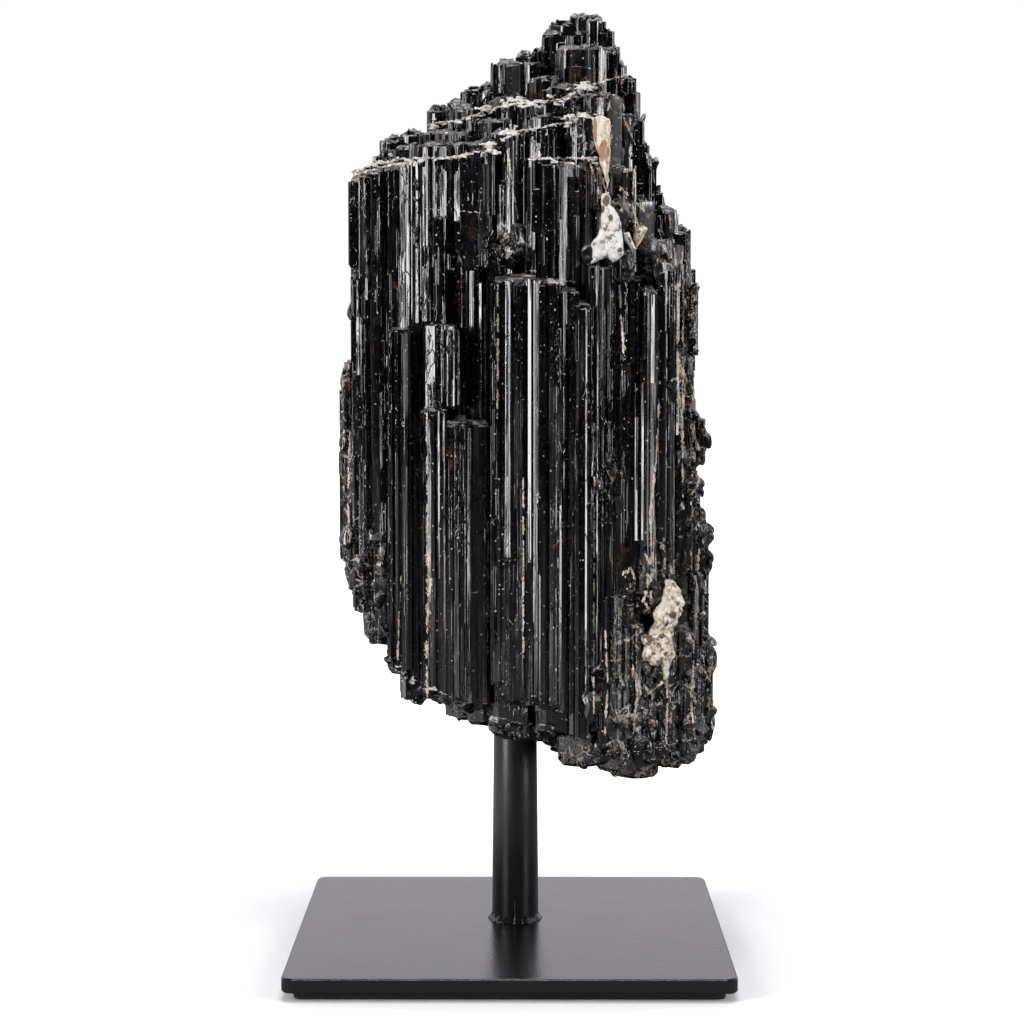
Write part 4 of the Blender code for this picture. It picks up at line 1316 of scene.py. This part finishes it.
creamOutline = tenths((
    (430, 1080), (447, 1073), (457, 1057), (472, 1046), (476, 1015), (474, 996), (465, 976), (457, 957),
    (446, 949), (448, 930), (450, 891), (448, 872), (438, 852), (437, 822), (431, 802), (423, 806),
    (419, 837), (408, 849), (388, 838), (365, 858), (358, 880), (364, 901), (350, 917), (371, 930),
    (386, 945), (397, 963), (396, 980), (412, 1015), (424, 1050),
))
whitePatch = {"front": -0.0272, "back": -0.0170, "round": 0.0010, "drop": 0.0022, "relief": 0.0010,
              "coarse": 260.0, "steps": 3}
shardPatch = {"front": -0.0255, "back": -0.0150, "round": 0.0008, "drop": 0.0012, "relief": 0.0003,
              "coarse": 300.0, "steps": 3}
cornerPatch = {"front": -0.0225, "back": -0.0120, "round": 0.0012, "drop": 0.0016, "relief": 0.0004,
               "coarse": 340.0, "steps": 0}
stripPatch = {"front": -0.0232, "back": -0.0140, "round": 0.0009, "drop": 0.0012, "relief": 0.0006,
              "coarse": 200.0, "steps": 2}
creamPatch = {"front": -0.0292, "back": -0.0160, "round": 0.0018, "drop": 0.0030, "relief": 0.0008,
              "coarse": 420.0, "steps": 0, "fray": 0.0009}
patchSkin = {"voxel": 0.00024, "ragged": 0.0005, "fray": 0.0003, "frayScale": 420.0, "rough": 0.00020,
             "roughScale": 900.0, "stepped": 0.75, "smooth": 32}
# x, z, radius and depth of the pits
whitePits = tenths(((261, 2100, 7, 6), (273, 2057, 4, 3), (296, 1972, 4, 3)))
creamPits = tenths((
    (459, 1038, 5, 6), (443, 1030, 6, 5), (441, 1003, 9, 7), (445, 978, 5, 5), (405, 903, 7, 6),
    (423, 878, 6, 7), (380, 922, 9, 6), (452, 1060, 4, 3), (460, 1005, 4, 4), (433, 918, 5, 4),
    (393, 880, 6, 5), (437, 940, 4, 4), (452, 1018, 7, 10), (464, 1050, 6, 8), (434, 1046, 6, 9),
    (424, 964, 7, 11), (413, 928, 6, 9), (396, 932, 7, 10), (440, 900, 6, 9), (434, 868, 7, 10),
    (412, 862, 6, 9), (384, 866, 7, 10), (429, 990, 5, 8), (456, 992, 6, 9),
))


def edgeDistance(outline, x, z):
    nearest = 1.0
    for (x0, z0), (x1, z1) in zip(outline, outline[1:] + outline[:1]):
        along = (x1 - x0, z1 - z0)
        share = ((x - x0) * along[0] + (z - z0) * along[1]) / (along[0] ** 2 + along[1] ** 2)
        share = min(max(share, 0.0), 1.0)
        nearest = min(nearest, math.hypot(x - x0 - share * along[0], z - z0 - share * along[1]))
    return nearest


def makePatch(name, outline, settings, pits=()):
    # the outline extruded back into the crystals, skinned finely, then rounded, stepped and pitted
    circle = {"vertices": len(outline), "radius": 0.01, "fill_type": "NGON"}
    patch = addPrimitive(name, bpy.ops.mesh.primitive_circle_add, **circle)
    for vert, (x, z) in zip(patch.data.vertices, outline):
        vert.co = (x, settings["front"], z)
    bpy.ops.object.mode_set(mode="EDIT")
    bpy.ops.mesh.select_all(action="SELECT")
    thick = settings["back"] - settings["front"]
    bpy.ops.mesh.extrude_region_move(TRANSFORM_OT_translate={"value": (0.0, thick, 0.0)})
    bpy.ops.mesh.select_all(action="SELECT")
    bpy.ops.mesh.normals_make_consistent(inside=False)
    bpy.ops.object.mode_set(mode="OBJECT")
    skin = patch.modifiers.new("skin", "REMESH")
    skin.mode = "VOXEL"
    skin.voxel_size = patchSkin["voxel"]
    applyModifiers(patch)
    for vert in patch.data.vertices:
        x, y, z = vert.co
        ragged = patchSkin["ragged"] * noise.noise(Vector((x, 9.0, z)) * patchSkin["roughScale"])
        worn = max(0.0, 1.0 - (edgeDistance(outline, x, z) + ragged) / settings["round"]) ** 2
        rise = noise.noise(Vector((x, 0.0, z * 0.7)) * settings["coarse"])
        if settings["steps"]:
            stepped = patchSkin["stepped"]
            rise = stepped * round(rise * settings["steps"]) / settings["steps"] + (1.0 - stepped) * rise
        depth = worn * settings["drop"] + rise * settings["relief"]
        for pitX, pitZ, radius, deep in pits:
            run = math.hypot(x - pitX, z - pitZ) / radius
            depth += deep * max(0.0, 1.0 - run * run) ** 0.7
        share = (settings["back"] - y) / thick
        fray = noise.noise_vector(Vector((x, 3.0, z)) * patchSkin["frayScale"])
        fray = fray * settings.get("fray", patchSkin["fray"])
        rough = noise.noise_vector(vert.co * patchSkin["roughScale"]) * patchSkin["rough"]
        vert.co = vert.co + Vector((fray.x, depth * share, fray.z)) + rough
    bpy.ops.object.shade_smooth_by_angle(angle=math.radians(patchSkin["smooth"]))
    return patch


def makeFeldsparMaterial(name, pale, dull, stain, dark, stainsAndPitShade, scale=420.0, grain=1.0, broken=0.05):
    # blotched stone with dark hairline cracks and rusty stains at the given places; on the cream patch
    # these places are its pits, darkened brown as painted shade
    material, tree, shader = plainMaterial(name)
    place = addNode(tree, "TexCoord").outputs["Object"]
    blotch = drawnNoise(tree, place, scale, scale * grain, 4.0, 0.65)
    colour = mixColour(tree, rangeNode(tree, blotch, 0.36, 0.64), pale, dull)
    ragged = drawnNoise(tree, place, scale / 2, scale / 2 * grain, 5.0, 0.7)
    near = plus(tree, ragged, times(tree, zoneMask(tree, place, stainsAndPitShade), 0.16))
    rustAndPitShade = times(tree, rangeNode(tree, near, 0.57, 0.66), 0.94)
    colour = mixColour(tree, rustAndPitShade, colour, stain)
    web = useGroup(tree, crackleGroup, Scale=340.0, Thickness=broken)
    colour = mixColour(tree, times(tree, web["Mask"], 0.8), colour, dark)
    specks = useGroup(tree, speckGroup, Scale=800.0, Size=broken * 5.0, Share=0.25)
    colour = mixColour(tree, times(tree, specks["Mask"], 0.8), colour, dark)
    tree.links.new(colour, shader.inputs["Base Color"])
    tree.links.new(rangeNode(tree, blotch, 0.3, 0.7, 0.38, 0.60), shader.inputs["Roughness"])
    height = mathNode(tree, "SUBTRACT", noiseNode(tree, place, 2400, 4.0), times(tree, web["Mask"], 0.8))
    addBump(tree, shader, height, 0.5, 0.00018)
    return material


whiteStains = tenths((
    ((260, -260, 2103), (10, 60, 16)), ((272, -260, 2058), (7, 60, 10)), ((296, -260, 1972), (8, 60, 7)),
    ((250, -260, 2082), (6, 60, 12)),
))
stripStains = tenths((((254, -220, 2238), (16, 60, 36)), ((230, -220, 2300), (6, 60, 40))))
# painted shade in the cream patch's pits, a darker brown over its rusty stain
creamPitStainAndShade = tenths((
    ((380, -260, 920), (11, 60, 12)), ((441, -260, 985), (12, 60, 16)), ((405, -260, 900), (10, 60, 10)),
    ((423, -260, 877), (7, 60, 8)),
))
noise.seed_set(7)                       # the vector noise would differ from run to run without it
whiteStone = makeFeldsparMaterial("white feldspar", (0.84, 0.82, 0.81), (0.70, 0.68, 0.67),
                                  (0.13, 0.066, 0.030), (0.12, 0.08, 0.06), whiteStains)
tanStone = makeFeldsparMaterial("tan feldspar", (0.82, 0.77, 0.70), (0.62, 0.45, 0.30), (0.36, 0.19, 0.10),
                                (0.14, 0.07, 0.04), stripStains, scale=800.0, grain=0.22)
creamStone = makeFeldsparMaterial("cream feldspar", (0.82, 0.77, 0.70), (0.52, 0.41, 0.28),
                                  (0.085, 0.042, 0.022), (0.05, 0.032, 0.022), creamPitStainAndShade,
                                  scale=620.0, broken=0.12)
upper, lower = ("feldspar_upper", "white_feldspar"), ("feldspar_lower", "cream_feldspar")
for name, outline, settings, pits, (node, slot), rock in (
        ("whitePatch", whiteOutline, whitePatch, whitePits, upper, whiteStone),
        ("whiteShard", shardOutline, shardPatch, (), upper, whiteStone),
        ("creamCorner", cornerOutline, cornerPatch, (), upper, creamStone),
        ("tanStrip", stripOutline, stripPatch, (), ("feldspar_strip", "tan_feldspar"), tanStone),
        ("creamPatch", creamOutline, creamPatch, creamPits, lower, creamStone)):
    finishPiece(makePatch(name, outline, settings, pits), node, slot, rock)
print("feldspar ready")


# the stand

def setMaterial(node, material):
    for slot in nodes[node].material_slots:
        slot.material = material


powder = {"low": (0.0050, 0.0047, 0.0056), "high": (0.0080, 0.0075, 0.0090),
          # painted shade: the darker colour painted on the plate's top
          "paintedDarkTop": (0.0032, 0.0030, 0.0036)}


def makePowderCoat(name, rough, relief, tone=1.0, level=False):
    material, tree, shader = plainMaterial(name)
    grain = useGroup(tree, grainGroup, Scale=1500.0)
    # painted light: a tone above 1 makes a lighter copy of the same coat
    low, high = (tuple(tone * part for part in powder[end]) for end in ("low", "high"))
    colour = mixColour(tree, grain["Blotch"], low, high)
    if level:                           # painted shade: the plate's top is painted blacker than its sides, which darkens what it reflects
        up = axisOf(tree, addNode(tree, "NewGeometry").outputs["Normal"], "Z")
        colour = mixColour(tree, rangeNode(tree, up, 0.4, 0.9), colour, powder["paintedDarkTop"])
    tree.links.new(colour, shader.inputs["Base Color"])
    smooth = rangeNode(tree, grain["Blotch"], 0.3, 0.7, rough - 0.01, rough + 0.01)
    tree.links.new(smooth, shader.inputs["Roughness"])
    addBump(tree, shader, grain["Height"], relief, 0.00009)
    return material


def makeRubber():
    material, tree, shader = plainMaterial("black rubber")
    grain = useGroup(tree, grainGroup, Scale=1500.0)
    tone = mixColour(tree, grain["Blotch"], (0.014, 0.014, 0.014), (0.028, 0.027, 0.026))
    tree.links.new(tone, shader.inputs["Base Color"])
    shader.inputs["Roughness"].default_value = 0.8
    addBump(tree, shader, grain["Height"], 0.3, 0.0001)
    return material


post = {"middle": (0.0014, 0.0073), "foot": 0.0067, "head": 0.0060, "low": 0.0064, "top": 0.082,
        "sides": 96, "rim": 0.0002}
weld = {"wide": 0.00100, "high": 0.00125, "low": 0.00628, "sides": 160, "around": 16, "bead": 0.001,
        "crest": 0.00028, "lumps": ((0.45, 3.0), (0.40, 9.0), (0.25, 21.0)), "lumpRange": (0.5, 1.35)}
drip = {"x": 0.0013, "y": 0.00062, "top": 0.0128, "foot": 0.0008, "stem": 0.00020, "pool": 0.00065,
        "head": 0.00016}


def makePost():
    # the same taper as the solid, turned smooth, with both rims eased
    cone = {"vertices": post["sides"], "radius1": post["foot"], "radius2": post["head"],
            "depth": post["top"] - post["low"],
            "location": (*post["middle"], (post["top"] + post["low"]) / 2)}
    rod = addPrimitive("steelPost", bpy.ops.mesh.primitive_cone_add, **cone)
    bpy.ops.object.transform_apply(location=True, rotation=True, scale=True)
    rims = rod.modifiers.new("rims", "BEVEL")
    rims.width = post["rim"]
    rims.segments = 2
    rims.limit_method = "ANGLE"
    applyModifiers(rod)
    bpy.ops.object.shade_smooth_by_angle(angle=math.radians(35))
    return rod


def makeWeld():
    # the low fillet of weld metal, uneven all the way round
    torus = {"major_segments": weld["sides"], "minor_segments": weld["around"],
             "major_radius": post["foot"], "minor_radius": weld["bead"]}
    ring = addPrimitive("weldRing", bpy.ops.mesh.primitive_torus_add, **torus)
    middleX, middleY = post["middle"]
    for vert in ring.data.vertices:
        around = math.atan2(vert.co.y, vert.co.x)
        spot = Vector((math.cos(around), math.sin(around), 0.3))
        lump = 1.0
        for amount, fine in weld["lumps"]:
            lump += amount * noise.noise(spot * fine)
        lump = min(max(lump, weld["lumpRange"][0]), weld["lumpRange"][1])
        out = (math.hypot(vert.co.x, vert.co.y) - post["foot"]) / weld["bead"]
        up = max(vert.co.z / weld["bead"], 0.0)
        run = post["foot"] + out * weld["wide"] * lump
        z = weld["low"]
        if up > 0.01:
            z += weld["high"] * lump * min(max(1.0 - out, 0.0), 1.0) ** 1.3 + weld["crest"] * up
        vert.co = (middleX + run * math.cos(around), middleY + run * math.sin(around), z)
    bpy.ops.object.shade_smooth()
    return ring


def makePaintRun():
    # a run of paint down the front of the post, widest at its foot
    sphere = {"segments": 12, "ring_count": 24, "radius": 1.0}
    paint = addPrimitive("paintRun", bpy.ops.mesh.primitive_uv_sphere_add, **sphere)
    for vert in paint.data.vertices:
        share = (vert.co.z + 1.0) / 2.0
        spread = (1.0 - share) ** 8
        wide = drip["stem"] + drip["pool"] * spread + drip["head"] * share ** 12
        z = weld["low"] + share * (drip["top"] - weld["low"])
        vert.co = (drip["x"] + vert.co.x * wide, drip["y"] - drip["foot"] * spread + vert.co.y * wide, z)
    bpy.ops.object.shade_smooth()
    return paint


powderCoat = makePowderCoat("black powder coat", 0.32, 0.60)
weldCoat = makePowderCoat("black powder coat on weld", 0.18, 0.30)
# the plate's coat is a painted lighter copy down its sides and painted darker on its top
plateCoat = makePowderCoat("black powder coat, plate, painted dark top and light sides", 0.22, 0.60, 1.5, True)
for node, material in (("post", powderCoat), ("weld_bead", powderCoat), ("base_plate", plateCoat)):
    setMaterial(node, material)
for piece, node, coat in ((makePost(), "post", powderCoat), (makeWeld(), "weld_bead", weldCoat),
                          (makePaintRun(), "weld_bead", weldCoat)):
    finishPiece(piece, node, "powder_coat", coat)
setMaterial("base_pad", makeRubber())
print("stand ready")
